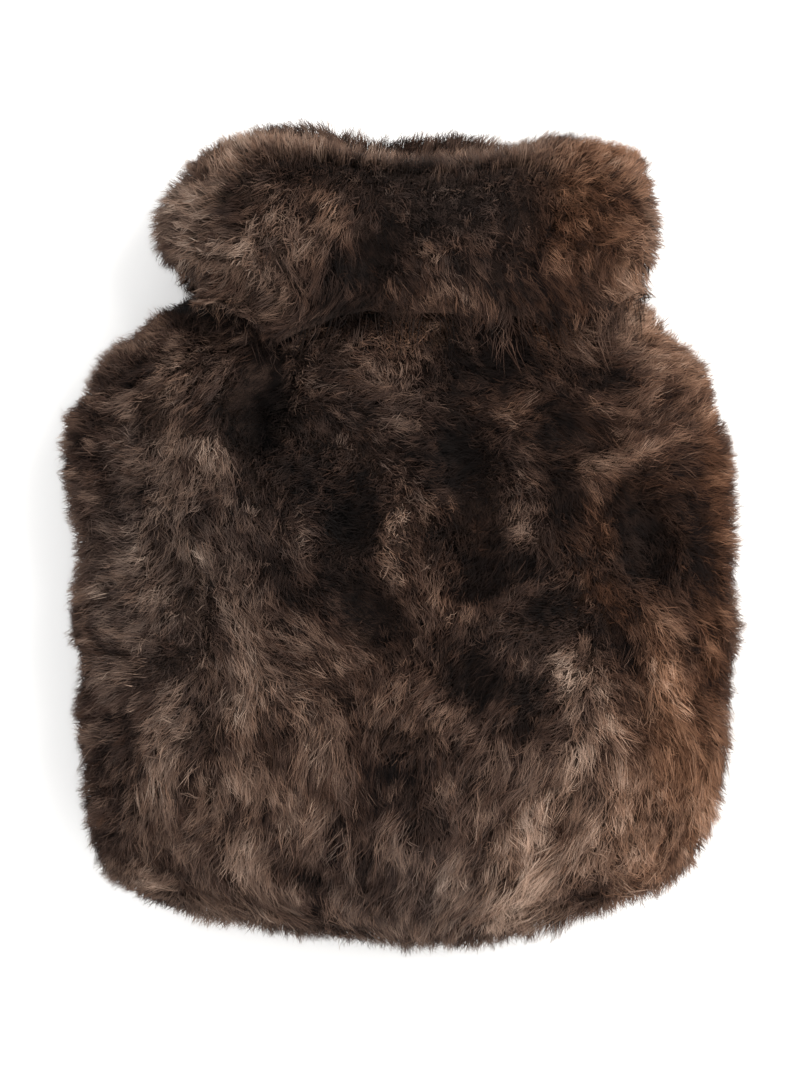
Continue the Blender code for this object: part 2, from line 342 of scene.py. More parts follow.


# ---------------------------------------------------------------------------------------------------
# Bed of the panels' wool
# Sheep's wool grows so dense that its lower two thirds are one springy mass on the hide, coloured dark
# with painted shade.
# It follows the cover's folds: hollows pressed in by hand and use, and soft ridges between them.
# ---------------------------------------------------------------------------------------------------

# Hollows of the front, and ridges where depth is negative: the middle, the half length and half width,
# how far in, and how the length is turned from +X in degrees
FRONT_FOLDS = (
    (-57, 50, 24, 9, 11.5, 90),
    (-20, 7, 12, 9, 4, 90),
    (-12, -31, 12, 10, 5, 60),
    (28, 10, 32, 10, 5, 100),
    (26, -55, 10, 9, 3, 90),
    (72, 40, 12, 8, 3, 40),
    (100, -4, 12, 9, 9, 90),
    (92, 9, 26, 8, 3, 12),
    (78, 26, 26, 9, -4, 15),
    (-90, -18, 30, 8, 3, 92),
    (-115, 20, 34, 9, 3, 84),
)
# Finer creases in the wool, and fine ridges where depth is negative
FRONT_CREASES = (
    (-57, 66, 18, 6, 3, 82),
    (-76, 88, 18, 8, 6, 152),
    (-100, 48, 12, 4, 3, 100),
    (-95, -12, 14, 4, 3, 115),
    (-77, 6, 12, 4, 2, 90),
    (-84, -32, 16, 5, 3, 85),
    (-75, -64, 7, 6, 3, 90),
    (-81, -106, 12, 5, 2.5, 80),
    (-118, -95, 18, 7, 3, 100),
    (-18, -26, 14, 6, 3, 125),
    (23, 32, 14, 7, 3, 95),
    (47, -13, 8, 5, 3, 0),
    (70, 40, 17, 4, 3.5, 5),
    (42, 57, 12, 4, 2, 170),
    (89, 55, 7, 4, 2.5, 60),
    (86, 13, 16, 4, 2.5, 12),
    (86, 27, 18, 4, -2.5, 22),
    (30, -54, 14, 6, 2.5, 90),
    (86, -44, 11, 6, 3, 130),
    (94, -70, 11, 6, 3, 90),
    (84, -91, 6, 5, 2, 90),
    (107, -60, 22, 7, -2, 110),
    (62, -116, 16, 4, 2.5, 65),
    (78, -147, 8, 6, 2.5, 90),
    (-52, -128, 10, 5, 2, 100),
    (-88, 25, 34, 6, -2, 92),
    (-96, -104, 16, 7, -2, 75),
)
FOLD_FADE = 0.4  # folds fade out below this share of the front's height
BED_DEPTH = 0.0085  # from the wool's tips down to the bed
PANEL_WOOL_TOP_Y = 0.118  # under the collar
PANEL_LEVELS, PANEL_COLUMNS = (26, 84), 240
TABLE_GAP = 0.0004  # the wool's surface stays this far over the table


def hollow(x, y, folds):
    """How far the folds sink the wool in at x, y: the sum of depth * exp(-(along/l)^2 - (aside/w)^2)."""
    depth = np.zeros(np.broadcast(x, y).shape)
    for fold_x, fold_y, length, width, sink, turn in np.array(folds) * (MM, MM, MM, MM, MM, np.pi / 180):
        along = (x - fold_x) * np.cos(turn) + (y - fold_y) * np.sin(turn)
        aside = (y - fold_y) * np.cos(turn) - (x - fold_x) * np.sin(turn)
        depth += sink * np.exp(-((along / length) ** 2) - (aside / width) ** 2)
    return depth


def wool_points(angle, y, spread=0.0):
    """X and height over the seam of the panels' wool at an angle round the cover, spread further out."""
    left, right = (through(y, OUTLINE["y"], OUTLINE[name]) for name in ("left", "right"))
    front = through(y, DEPTHS["y"], DEPTHS["front_wool"]) * closing(y, BOTTOM_Y, WOOL_ROUND)
    back = through(y, DEPTHS["y"], DEPTHS["back_wool"]) * closing(y, BOTTOM_Y, WOOL_ROUND)
    return oval(angle, left - spread, right + spread, np.where(np.sin(angle) >= 0, front, back) + spread)


def panel_wool_surface():
    """Grid of points where the panels' wool ends, levels up the cover by angles round it, closed.

    The folds sink the front in, and the table presses the back flat.
    """
    y = levels_between(BOTTOM_Y, PANEL_WOOL_TOP_Y, *PANEL_LEVELS)[:, None]
    angle = np.linspace(0, 2 * np.pi, PANEL_COLUMNS + 1)[None, :]
    x, height = wool_points(angle, y)
    top = through(y, DEPTHS["y"], DEPTHS["front_wool"]) * closing(y, BOTTOM_Y, WOOL_ROUND)
    share = np.clip(height / (FOLD_FADE * top), 0, 1)
    height = height - share * hollow(x, y, FRONT_FOLDS + FRONT_CREASES)
    return np.stack((x, np.broadcast_to(y, x.shape), np.maximum(SEAM_HEIGHT + height, TABLE_GAP)), axis=-1)


def steps(grid):
    """How a grid's points move from row to row and from column to column, the columns being closed."""
    along = np.gradient(grid, axis=0)
    wrapped = np.concatenate((grid[:, -2:-1], grid, grid[:, 1:2]), axis=1)
    return along, np.gradient(wrapped, axis=1)[:, 1:-1]


def length(vectors):
    """Length of each vector, kept above nothing."""
    return np.maximum(np.linalg.norm(vectors, axis=-1, keepdims=True), 1e-9)


def outward(grid):
    """Unit normals of a grid: the cross product of its steps."""
    along, round_about = steps(grid)
    across = np.cross(along, round_about)
    return across / length(across)


MOTTLE, MOTTLE_MIDDLE = 0.24, 0.10  # how much the noise adds to the tone, and what is taken off again


def wool_colour_group():
    """Node group for the colour of undyed brown wool.

    Along is 0 at a fibre's root and 1 at its tip, Tone 0 is dark and 1 is light, and Warmth goes from
    grey-brown at 0 to red-brown and ochre at 1. Towards the root the colour darkens to nearly black:
    painted shade of the wool's depth. A fine noise mottles it.
    """
    group = bpy.data.node_groups.new("wool_colour", "ShaderNodeTree")
    for name in ("Along", "Tone", "Warmth"):
        group.interface.new_socket(name, in_out="INPUT", socket_type="NodeSocketFloat")
    group.interface.new_socket("Color", in_out="OUTPUT", socket_type="NodeSocketColor")
    came = group.nodes.new("NodeGroupInput")
    mottle = group.nodes.new("ShaderNodeGroup")
    mottle.node_tree = noise_group("wool_mottle", (45, 210), 0.3, 0.7)
    tone = group.nodes.new("ShaderNodeMath")
    tone.operation = "MULTIPLY_ADD"
    tone.inputs[1].default_value = MOTTLE
    group.links.new(mottle.outputs["Value"], tone.inputs[0])
    group.links.new(came.outputs["Tone"], tone.inputs[2])
    shift = group.nodes.new("ShaderNodeMath")
    shift.operation = "SUBTRACT"
    shift.use_clamp = True
    shift.inputs[1].default_value = MOTTLE_MIDDLE
    group.links.new(tone.outputs[0], shift.inputs[0])
    grey = ramp_node(
        group,
        (
            (0, (0.0058, 0.0048, 0.0047)),
            (0.35, (0.0580, 0.0392, 0.0335)),
            (0.7, (0.214, 0.153, 0.123)),
            (1, (0.50, 0.382, 0.308)),
        ),
    )
    warm = ramp_node(
        group,
        (
            (0, (0.0098, 0.0052, 0.0042)),
            (0.35, (0.096, 0.042, 0.0225)),
            (0.7, (0.322, 0.167, 0.099)),
            (1, (0.64, 0.40, 0.28)),
        ),
    )
    for ramp in (grey, warm):
        group.links.new(shift.outputs[0], ramp.inputs["Fac"])
    blend = group.nodes.new("ShaderNodeMix")
    blend.data_type = "RGBA"
    group.links.new(came.outputs["Warmth"], blend.inputs["Factor"])
    group.links.new(grey.outputs["Color"], blend.inputs["A"])
    group.links.new(warm.outputs["Color"], blend.inputs["B"])
    # painted shade: the colour darkens from the tip to the root, as the wool's depth shades it
    rise = ramp_node(group, ((0, (0.27, 0.27, 0.27)), (0.5, (0.63, 0.63, 0.63)), (1, (1, 1, 1))))
    group.links.new(came.outputs["Along"], rise.inputs["Fac"])
    shade = group.nodes.new("ShaderNodeMix")
    shade.data_type = "RGBA"
    shade.blend_type = "MULTIPLY"
    shade.inputs["Factor"].default_value = 1.0
    group.links.new(blend.outputs["Result"], shade.inputs["A"])
    group.links.new(rise.outputs["Color"], shade.inputs["B"])
    out = group.nodes.new("NodeGroupOutput")
    group.links.new(shade.outputs["Result"], out.inputs["Color"])
    return group


wool_colour = wool_colour_group()


def fibre_coloured(name):
    """Material whose base colour is the wool's, from the attribute that holds along, tone and warmth."""
    material = bpy.data.materials.new(name)
    material.use_nodes = True
    tree = material.node_tree
    surface = tree.nodes["Principled BSDF"]
    fibre = tree.nodes.new("ShaderNodeAttribute")
    fibre.attribute_name = "fibre"
    parts = tree.nodes.new("ShaderNodeSeparateXYZ")
    tree.links.new(fibre.outputs["Vector"], parts.inputs[0])
    colour = tree.nodes.new("ShaderNodeGroup")
    colour.node_tree = wool_colour
    for part, value in zip("XYZ", ("Along", "Tone", "Warmth")):
        tree.links.new(parts.outputs[part], colour.inputs[value])
    tree.links.new(colour.outputs["Color"], surface.inputs["Base Color"])
    return material, tree, surface


def bed_material():
    """Dense wool seen between the locks: streaked and rough, and dark with painted shade from its fibre
    attribute.
    """
    material, tree, surface = fibre_coloured("wool_bed")
    fibres = tree.nodes.new("ShaderNodeGroup")
    fibres.node_tree = noise_group("bed_fibres", (420, 1500), 0.3, 0.7)
    bump = tree.nodes.new("ShaderNodeBump")
    bump.inputs["Distance"].default_value = 0.0015
    tree.links.new(fibres.outputs["Value"], bump.inputs["Height"])
    tree.links.new(bump.outputs["Normal"], surface.inputs["Normal"])
    surface.inputs["Roughness"].default_value = 0.95
    surface.inputs["Specular IOR Level"].default_value = 0.2
    return material


dense_wool = bed_material()
panel_wool = panel_wool_surface()
panel_out = outward(panel_wool)


BED_ROWS, BED_STEP = slice(3, None, 2), 4  # the wool surface's rows and columns that the bed takes
BED_FOOT_Y = HIDE_BOTTOM_Y + 0.002  # below it the bed fills the seam's edge
BED_LIFT = HIDE + 0.0004  # the bed's inner side over the pocket's shape
BED_LOWEST = 0.003  # the wool under the bed lifts it off the table


def panel_bed(name, side):
    """Closed crescents: the outer arc is the wool's surface moved in along its normals, the inner arc lies
    on the hide. Both ends of each arc meet in the flat of the seam."""
    half = PANEL_COLUMNS // 2
    part = slice(0, half + 1, BED_STEP) if side > 0 else slice(half, PANEL_COLUMNS + 1, BED_STEP)
    outer = (panel_wool - panel_out * BED_DEPTH)[BED_ROWS, part]
    y = outer[:, :1, 1]
    turn = np.linspace(0, np.pi, outer.shape[1])
    angle = side * (np.linspace(np.pi, 0, outer.shape[1]) if side > 0 else turn)[None, :]
    x, height = hide_points(angle, y, np.where(y > BED_FOOT_Y, BED_LIFT, 0))
    inner = np.stack((x, np.broadcast_to(y, x.shape), SEAM_HEIGHT + height), axis=-1)
    rings = np.concatenate((outer, inner), axis=1)
    if side > 0:
        rings[..., 2] = np.maximum(rings[..., 2], SEAM_HEIGHT + SEWN_GAP / 2)
    else:
        rings[..., 2] = np.clip(rings[..., 2], BED_LOWEST, SEAM_HEIGHT - SEWN_GAP / 2)
    piece = joined(name, rings, loops=True, ends="capped")
    piece.data.materials.append(dense_wool)
    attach(piece, "root")
    return piece


front_bed = panel_bed("front_wool_bed", 1)
back_bed = panel_bed("back_wool_bed", -1)


# ---------------------------------------------------------------------------------------------------
# Wool of the two panels
# Clipped lamb's wool, 20 to 25 mm deep and slightly crimped. Fibres stand in locks of a few millimetres,
# which lean the way that hands have stroked them. Their paler tips darken to the roots with painted shade
# of the wool's depth.
# ---------------------------------------------------------------------------------------------------

# Which way the locks lean: a place on the front, the direction from +X in degrees, and how much
COMBED = (
    (-133, 38, 172, 0.8),
    (-134, -11, 185, 0.8),
    (-130, -60, 200, 0.8),
    (-125, -109, 220, 0.8),
    (-111, -142, 240, 0.8),
    (-103, 34, 200, 0.6),
    (-103, -27, 195, 0.7),
    (-103, -76, 220, 0.8),
    (-94, -109, 262, 1.0),
    (-74, 22, 262, 0.7),
    (-88, 38, 262, 0.8),
    (-93, 66, 265, 0.7),
    (-76, -11, 270, 0.8),
    (-57, -27, 322, 0.8),
    (-41, -52, 315, 0.9),
    (-57, -76, 300, 0.9),
    (-70, -134, 265, 1.0),
    (-29, -101, 275, 1.0),
    (0, -134, 268, 1.0),
    (12, -68, 235, 0.7),
    (0, -27, 300, 0.6),
    (-25, 22, 205, 0.6),
    (0, 43, 335, 0.7),
    (-29, 55, 330, 0.8),
    (20, 47, 350, 0.7),
    (41, 43, 20, 0.7),
    (66, 34, 345, 0.7),
    (98, 30, 12, 0.9),
    (122, 14, 5, 0.8),
    (82, -2, 262, 0.7),
    (98, -11, 290, 0.6),
    (125, -27, 310, 0.7),
    (121, -68, 290, 0.9),
    (102, -43, 300, 0.8),
    (102, -93, 268, 0.9),
    (124, -109, 300, 0.9),
    (98, -134, 288, 1.0),
    (66, -93, 250, 0.9),
    (49, -134, 255, 1.0),
    (41, -43, 215, 0.7),
    (41, -2, 250, 0.6),
    (66, -35, 200, 0.6),
    (-119, 63, 150, 0.8),
    (122, 63, 35, 0.8),
    (-103, 84, 125, 0.7),
    (108, 80, 45, 0.8),
    (0, 75, 280, 0.7),
    (-60, 75, 230, 0.7),
    (60, 75, 290, 0.7),
)

# Patches of lighter, darker or warmer wool: middle, half length, half width, turn in degrees,
# added tone and added warmth. Darker patches in the hollows and under the collar are painted shade and
# painted shadow, paler ones on the crests painted light.
PATCHES = (
    # the darker middle, painted shade in the hollows, and painted shadow under the collar's hem and its
    # left lobe
    (25, 35, 72, 62, 0, -0.13, 0.0),
    (66, 25, 60, 16, 90, -0.08, 0.1),
    (42, 82, 17, 11, 90, -0.75, 0.1),
    (14, -66, 18, 12, 0, -0.10, 0.0),
    (122, -2, 34, 12, 90, -0.10, 0.0),
    (95, 12, 28, 15, 90, -0.08, 0.05),
    (124, 25, 42, 13, 92, -0.15, 0.15),
    (-56, 64, 15, 6.5, 94, -1.0, 0.0),
    (-57, 46, 16, 8, 83, -1.0, -0.1),
    (-80, 90, 17, 8, 155, -1.0, 0.0),
    (-60, 78, 8, 5, 128, -0.30, 0.0),
    (-71, 83, 8, 5, 150, 0.50, 0.0),
    (-42, 22, 13, 6, 125, -0.21, 0.0),
    (-30, 50, 15, 7, 150, -0.15, 0.0),
    (-20, 7, 15, 9, 60, -0.55, -0.1),
    (-15, -26, 16, 9, 125, -0.48, -0.1),
    (-5, -37, 9, 8, 90, -0.38, 0.0),
    (24, 35, 17, 9, 95, -0.52, 0.0),
    (28, -6, 17, 9, 100, -0.55, 0.35),
    (30, -24, 12, 7, 20, -0.36, 0.35),
    (48, -13, 9, 5, 0, -0.39, 0.0),
    (62, -26, 7, 5, 0, -0.15, 0.0),
    (99, -4, 16, 9.5, 95, -1.0, -0.2),
    (102, 10, 12, 6, 10, -0.24, 0.2),
    (70, 40, 17, 4, 5, -0.39, 0.0),
    (42, 57, 12, 5, 170, -0.33, 0.0),
    (89, 56, 7, 5, 60, -0.36, 0.0),
    (48, 84, 15, 10, 90, -0.24, 0.2),
    (24, 65, 12, 8, 170, -0.15, 0.0),
    (28, -54, 12, 16, 90, -0.42, 0.0),
    (50, -80, 14, 12, 90, -0.24, 0.1),
    (85, -44, 12, 6, 130, -0.33, 0.0),
    (92, -70, 12, 8, 90, -0.30, 0.0),
    (84, -91, 6, 5, 0, -0.30, 0.0),
    (78, -148, 8, 6, 0, -0.36, 0.0),
    (63, -116, 14, 3, 65, -0.27, 0.0),
    (-2, -99, 12, 5, 10, -0.33, 0.0),
    (-84, -32, 18, 7, 85, -0.27, 0.0),
    (-94, -50, 10, 5, 100, -0.24, 0.0),
    (-75, -64, 7, 6, 0, -0.10, 0.0),
    (-95, -12, 13, 3, 115, -0.33, 0.0),
    (-100, 48, 11, 3, 100, -0.20, 0.0),
    (-78, 5, 9, 5, 90, -0.52, 0.0),
    (-107, 66, 10, 6, 90, -0.21, 0.0),
    (-120, -95, 22, 9, 100, 0.0, -0.1),
    (-81, -106, 13, 5, 80, -0.15, 0.0),
    (-52, -128, 10, 5, 100, -0.21, 0.0),
    (-120, 20, 40, 6, 88, -0.12, -0.1),
    (-90, 60, 7, 6, 90, -0.10, 0.0),
    (-83, 22, 9, 7, 90, -0.14, 0.0),
    (-45, -21, 13, 6, 120, -0.50, 0.0),
    (-20, 83, 10, 6, 0, -0.35, 0.0),
    (67, 3, 12, 7, 80, -0.48, 0.1),
    (76, -74, 9, 6, 90, -0.22, 0.0),
    # painted light on the crests and ridges, and paler streaks of wool, partly painted highlights
    (-92, -25, 95, 28, 90, 0.06, -0.1),
    (-62, -88, 60, 40, 90, 0.11, 0.0),
    (118, -70, 62, 24, 90, 0.03, 0.2),
    (108, -30, 90, 24, 90, 0.0, 0.25),
    (98, -100, 30, 18, 90, 0.10, 0.15),
    (40, -140, 24, 18, 90, 0.20, 0.0),
    (-91, 42, 24, 8, 98, 0.34, 0.10),
    (-78, -16, 12, 6, 85, 0.60, 0.0),
    (-74, 71, 12, 7, 170, 0.07, 0.0),
    (-110, 44, 14, 6, 115, 0.20, -0.1),
    (-110, 5, 22, 6, 90, 0.06, -0.15),
    (-1, -1, 12, 7, 95, 0.55, -0.05),
    (2, 62, 18, 6, 10, 0.12, 0.1),
    (0, 75, 14, 7, 0, 0.07, 0.3),
    (28, 73, 8, 5, 120, 0.12, -0.1),
    (47, 49, 9, 6, 30, 0.43, 0.15),
    (46, 0, 15, 7, 85, 0.38, 0.0),
    (86, 28, 17, 4, 22, 0.30, 0.0),
    (110, 36, 13, 8, 60, 0.12, 0.0),
    (104, 20, 26, 4, 0, 0.10, 0.25),
    (80, 0, 14, 10, 95, -0.04, 0.55),
    (84, -28, 16, 7, 140, 0.07, 0.65),
    (64, -57, 11, 6, 95, 0.60, 0.0),
    (108, -61, 19, 7, 106, 0.40, 0.3),
    (86, -80, 9, 4, 10, 0.28, 0.1),
    (70, -96, 18, 5, 62, 0.33, 0.1),
    (55, -122, 20, 7, 62, 0.38, 0.1),
    (46, -150, 16, 9, 70, 0.35, 0.1),
    (26, -160, 22, 7, 15, 0.25, 0.0),
    (88, -112, 20, 8, 88, 0.28, 0.1),
    (72, -128, 16, 6, 70, 0.15, 0.0),
    (100, -138, 16, 8, 100, 0.25, 0.2),
    (124, -118, 26, 8, 65, 0.25, 0.4),
    (115, -92, 22, 12, 92, 0.10, 0.5),
    (130, -40, 70, 9, 90, -0.08, 0.65),
    (80, -125, 48, 38, 150, 0.22, 0.15),
    (-97, -104, 18, 8, 75, 0.24, 0.0),
    (-91, -66, 12, 5, 60, 0.20, 0.0),
    (-62, -130, 26, 13, 100, 0.12, 0.0),
    (-50, -108, 16, 9, 60, 0.15, 0.0),
    (-66, -102, 7, 3, 120, 0.18, 0.0),
    (-32, -38, 22, 5, 128, 0.06, 0.0),
    (-58, -50, 20, 10, 110, 0.34, 0.0),
    (8, -48, 14, 8, 150, 0.10, 0.0),
    (6, -76, 14, 9, 60, 0.04, 0.0),
    (22, -32, 12, 5, 10, 0.18, 0.0),
    (-103, -136, 15, 8, 60, 0.30, 0.05),
    (8, -116, 26, 16, 90, -0.14, -0.1),
    (14, -146, 14, 7, 70, 0.15, -0.1),
    (-42, -120, 12, 8, 100, 0.20, -0.05),
    (114, 76, 28, 10, 135, 0.33, 0.25),
    (132, 20, 40, 7, 92, 0.03, 0.55),
    (64, 82, 10, 14, 90, 0.14, 0.35),
    (101, 88, 12, 9, 125, 0.36, 0.35),
    (92, 66, 16, 9, 120, 0.08, 0.1),
    (-122, -40, 40, 9, 90, 0.07, -0.15),
    (-62, -8, 24, 8, 95, 0.14, 0.0),
    (-56, -79, 13, 9, 100, 0.20, 0.0),
    (-35, -78, 8, 5, 110, 0.22, 0.0),
    (12, 83, 22, 7, 0, 0.32, 0.2),
    (116, 60, 12, 9, 110, 0.18, 0.1),
)

LEAN = 0.0105  # how far a tip lies from over its root, for a lean of 1
LOCK = 0.0038  # distance between locks
PATCH_STRENGTH = 0.92  # share of the tone and warmth that the patches add


def combed(x, y, arrows, reach):
    """Lean at x, y: the arrows' mean, each weighted by exp(-(distance/reach)^2), as X and Y."""
    lean = np.zeros((len(x), 2))
    weights = np.full((len(x), 1), 1e-12)
    for place_x, place_y, turn, much in arrows:
        away = (x - place_x * MM) ** 2 + (y - place_y * MM) ** 2
        weight = np.exp(-away / (reach * MM) ** 2)[:, None] + 1e-9
        lean += weight * much * np.array((np.cos(np.radians(turn)), np.sin(np.radians(turn))))
        weights += weight
    return lean / weights


def drift(points, cell, seed):
    """Smooth random values from -1 to 1: random numbers on a cubic lattice, eased between its points."""
    lattice = np.random.default_rng(seed).uniform(-1, 1, (64, 64, 64))
    place = points / cell + 32
    low = np.floor(place).astype(int)
    s = place - low
    s = s * s * (3 - 2 * s)
    value = np.zeros(points.shape[:-1])
    for corner in np.ndindex(2, 2, 2):
        weight = np.prod(np.where(np.array(corner) == 1, s, 1 - s), axis=-1)
        i, j, k = np.moveaxis((low + corner) % 64, -1, 0)
        value += weight * lattice[i, j, k]
    return value


def patched(x, y, patches):
    """Added tone and warmth at x, y: each patch has a soft oval edge."""
    added = np.zeros((2, *x.shape))
    for place_x, place_y, half_length, half_width, turn, tone, warmth in patches:
        turn = np.radians(turn)
        across_x, across_y = x / MM - place_x, y / MM - place_y
        along = (across_x * np.cos(turn) + across_y * np.sin(turn)) / half_length
        aside = (across_y * np.cos(turn) - across_x * np.sin(turn)) / half_width
        weight = np.exp(-(along**2) - aside**2)
        added += weight * np.array((tone, warmth))[:, None]
    return added * PATCH_STRENGTH


def scattered(grid, spacing, band, chance):
    """Rows and columns of places spread evenly over a grid's surface, one to each square of the spacing."""
    across, along = grid[1:, :-1] - grid[:-1, :-1], grid[:-1, 1:] - grid[:-1, :-1]
    area = np.linalg.norm(np.cross(across, along), axis=-1)
    columns = area.shape[1]
    kept = len(area) // band * band
    total = np.cumsum(area[:kept].reshape(-1, band, columns).sum(axis=1).ravel())
    count = int(total[-1] / spacing**2)
    pick = (np.arange(count) + chance.random(count)) * (total[-1] / count)
    cell = np.minimum(np.searchsorted(total, pick), len(total) - 1)
    return (cell // columns + chance.random(count)) * band, cell % columns + chance.random(count)


def read(grid, row, column):
    """A grid's values between its points, row and column being fractions. Columns go round."""
    columns = grid.shape[1] - 1
    row = np.clip(row, 0, len(grid) - 1.001)
    column = column % columns
    r, c = row.astype(int), column.astype(int)
    s, t = (row - r)[..., None], (column - c)[..., None]
    low = grid[r, c] * (1 - t) + grid[r, c + 1] * t
    high = grid[r + 1, c] * (1 - t) + grid[r + 1, c + 1] * t
    return low * (1 - s) + high * s


def moved(grid_steps, row, column, shift, closed_foot):
    """Row and column after a shift along the surface: the shift's part along each of the grid's steps.

    Past a closed foot the other side goes on: the row turns back, and the angle changes its sign.
    """
    along, round_about = (read(step, row, column) for step in grid_steps)
    rows = row + (shift * along).sum(-1) / (length(along)[..., 0] ** 2 + 1e-9)
    columns = column + (shift * round_about).sum(-1) / (length(round_about)[..., 0] ** 2 + 1e-9)
    if closed_foot:
        columns = np.where(rows < 0, grid_steps[0].shape[1] - 1 - columns, columns)
        rows = np.abs(rows)
    return rows, columns


# How locks and fibres differ: limits between which a factor is drawn, or the spread of a bell curve
LOCK_LEAN, OWN_LEAN, OWN_WIDTH = (0.35, 1.25), (0.75, 1.2), (0.7, 1.3)
OWN_DEPTH, OWN_WAVES, OWN_CRIMP = (0.8, 1.1), (0.7, 1.3), (0.4, 1.6)
TIP_SPREAD, GATHER_SPREAD, PHASE_SPREAD = 0.0009, 0.15, 0.8
SWIRL = 0.8  # how far a tuft's swirl turns its locks, in radians
TUFT_RISE, PARTING_SINK = 0.0021, 0.0035  # how far wool stands up in tufts and sinks in partings
DEEPEST_TIP, DEEPEST_ROOT = 0.6, 0.85  # as shares of the wool's depth
MOST_GATHER = 0.95
BEND_HEIGHT, BEND_OVER = 0.95, 0.12  # where the curve's middle point lies, up the fibre and towards its tip
LOWEST_FIBRE = 0.0005  # over the table


def strands(grid, normals, thick, closed_foot, row, column, lean, tufts, per_lock, look, chance):
    """Paths of the fibres of each lock, as (fibres, points, 3), with their normals and lock numbers.

    A fibre rises from its root along the normal and bends over to its tip, a quadratic Bezier curve.
    The tip lies on the wool's surface, drawn towards the lock's own tip, and a sine crimps the fibre.
    Thick is how deep the wool is at each point of the grid. Tufts lift their locks and turn them aside.
    """
    locks = len(row)
    grid_steps = steps(grid)
    centre_out = read(normals, row, column)
    rise, parting, swirl = tufts
    bare = lean - (lean * centre_out).sum(-1, keepdims=True) * centre_out
    aside = np.cross(centre_out, bare)
    turn = chance.normal(0, look["stray"], (locks, 1)) + SWIRL * swirl[:, None]
    bare = (bare * np.cos(turn) + aside * np.sin(turn)) * chance.uniform(*LOCK_LEAN, (locks, 1))
    lock_row, lock_column = moved(grid_steps, row, column, bare, closed_foot)
    drop = look["drop"] + chance.gamma(2.0, look["uneven"] / 2, locks)
    drop = drop - TUFT_RISE * rise + PARTING_SINK * parting
    drop = np.minimum(drop, DEEPEST_TIP * read(thick, row, column)[:, 0])
    lock_tip = read(grid, lock_row, lock_column) - read(normals, lock_row, lock_column) * drop[:, None]

    lock = np.repeat(np.arange(locks), per_lock)
    count = len(lock)
    spread = chance.normal(0, look["spread"], (count, 3))
    r, c = moved(grid_steps, row[lock], column[lock], spread, closed_foot)
    on_surface, out = read(grid, r, c), read(normals, r, c)
    own = bare[lock] * chance.uniform(*OWN_LEAN, (count, 1)) + chance.normal(0, look["loose"], (count, 3))
    tip_row, tip_column = moved(grid_steps, r, c, own, closed_foot)
    tip_out = read(normals, tip_row, tip_column)
    own_drop = (drop[lock] + chance.normal(0, TIP_SPREAD, count))[:, None]
    tip = read(grid, tip_row, tip_column) - tip_out * own_drop
    gather = np.clip(chance.normal(look["gather"], GATHER_SPREAD, count), 0, MOST_GATHER)[:, None]
    tip = tip * (1 - gather) + lock_tip[lock] * gather
    depth = look["depth"] * chance.uniform(*OWN_DEPTH, (count, 1))
    depth = np.minimum(depth, DEEPEST_ROOT * read(thick, r, c))
    root = on_surface - out * depth
    bend = root + out * depth * BEND_HEIGHT + (tip - on_surface) * BEND_OVER

    s = np.linspace(0, 1, look["points"])[None, :, None]
    path = (1 - s) ** 2 * root[:, None] + 2 * s * (1 - s) * bend[:, None] + s * s * tip[:, None]
    aside = np.cross(out, tip - root)
    aside = (aside / length(aside))[:, None]
    waves = look["waves"] * chance.uniform(*OWN_WAVES, (count, 1, 1))
    phase = chance.uniform(0, 2 * np.pi, locks)[lock] + chance.normal(0, PHASE_SPREAD, count)
    crimp = look["crimp"] * chance.uniform(*OWN_CRIMP, (count, 1, 1))
    path = path + aside * crimp * s * np.sin(2 * np.pi * waves * s + phase[:, None, None])
    path[..., 2] = np.maximum(path[..., 2], LOWEST_FIBRE)
    return path, out, lock


FIBRE_ROLL = 0.5  # how far fibres turn about themselves, in radians
TAPER = 0.45  # how much narrower a fibre is before its point
SOFT_FACE, SOFT_OUT, SOFT_SIDE = 0.35, 0.85, 0.35  # parts of a rounded normal: own, the hide's, sideways
CELLS_WIDE = 2.2  # cells across the map for each one up it, squared
CELL_EDGE = 0.12, 0.88  # the ribbon's sides in its cell
CELL_FOOT, CELL_LENGTH = 0.06, 0.88  # its root, and its length


def mark_fibres(mesh, along, tone, warmth):
    """Attribute fibre: how far along its fibre each vertex lies, and the fibre's tone and warmth."""
    values = np.stack((along, tone, warmth), axis=-1)
    marks = mesh.attributes.new("fibre", "FLOAT_VECTOR", "POINT")
    marks.data.foreach_set("vector", values.astype(np.float32).ravel())


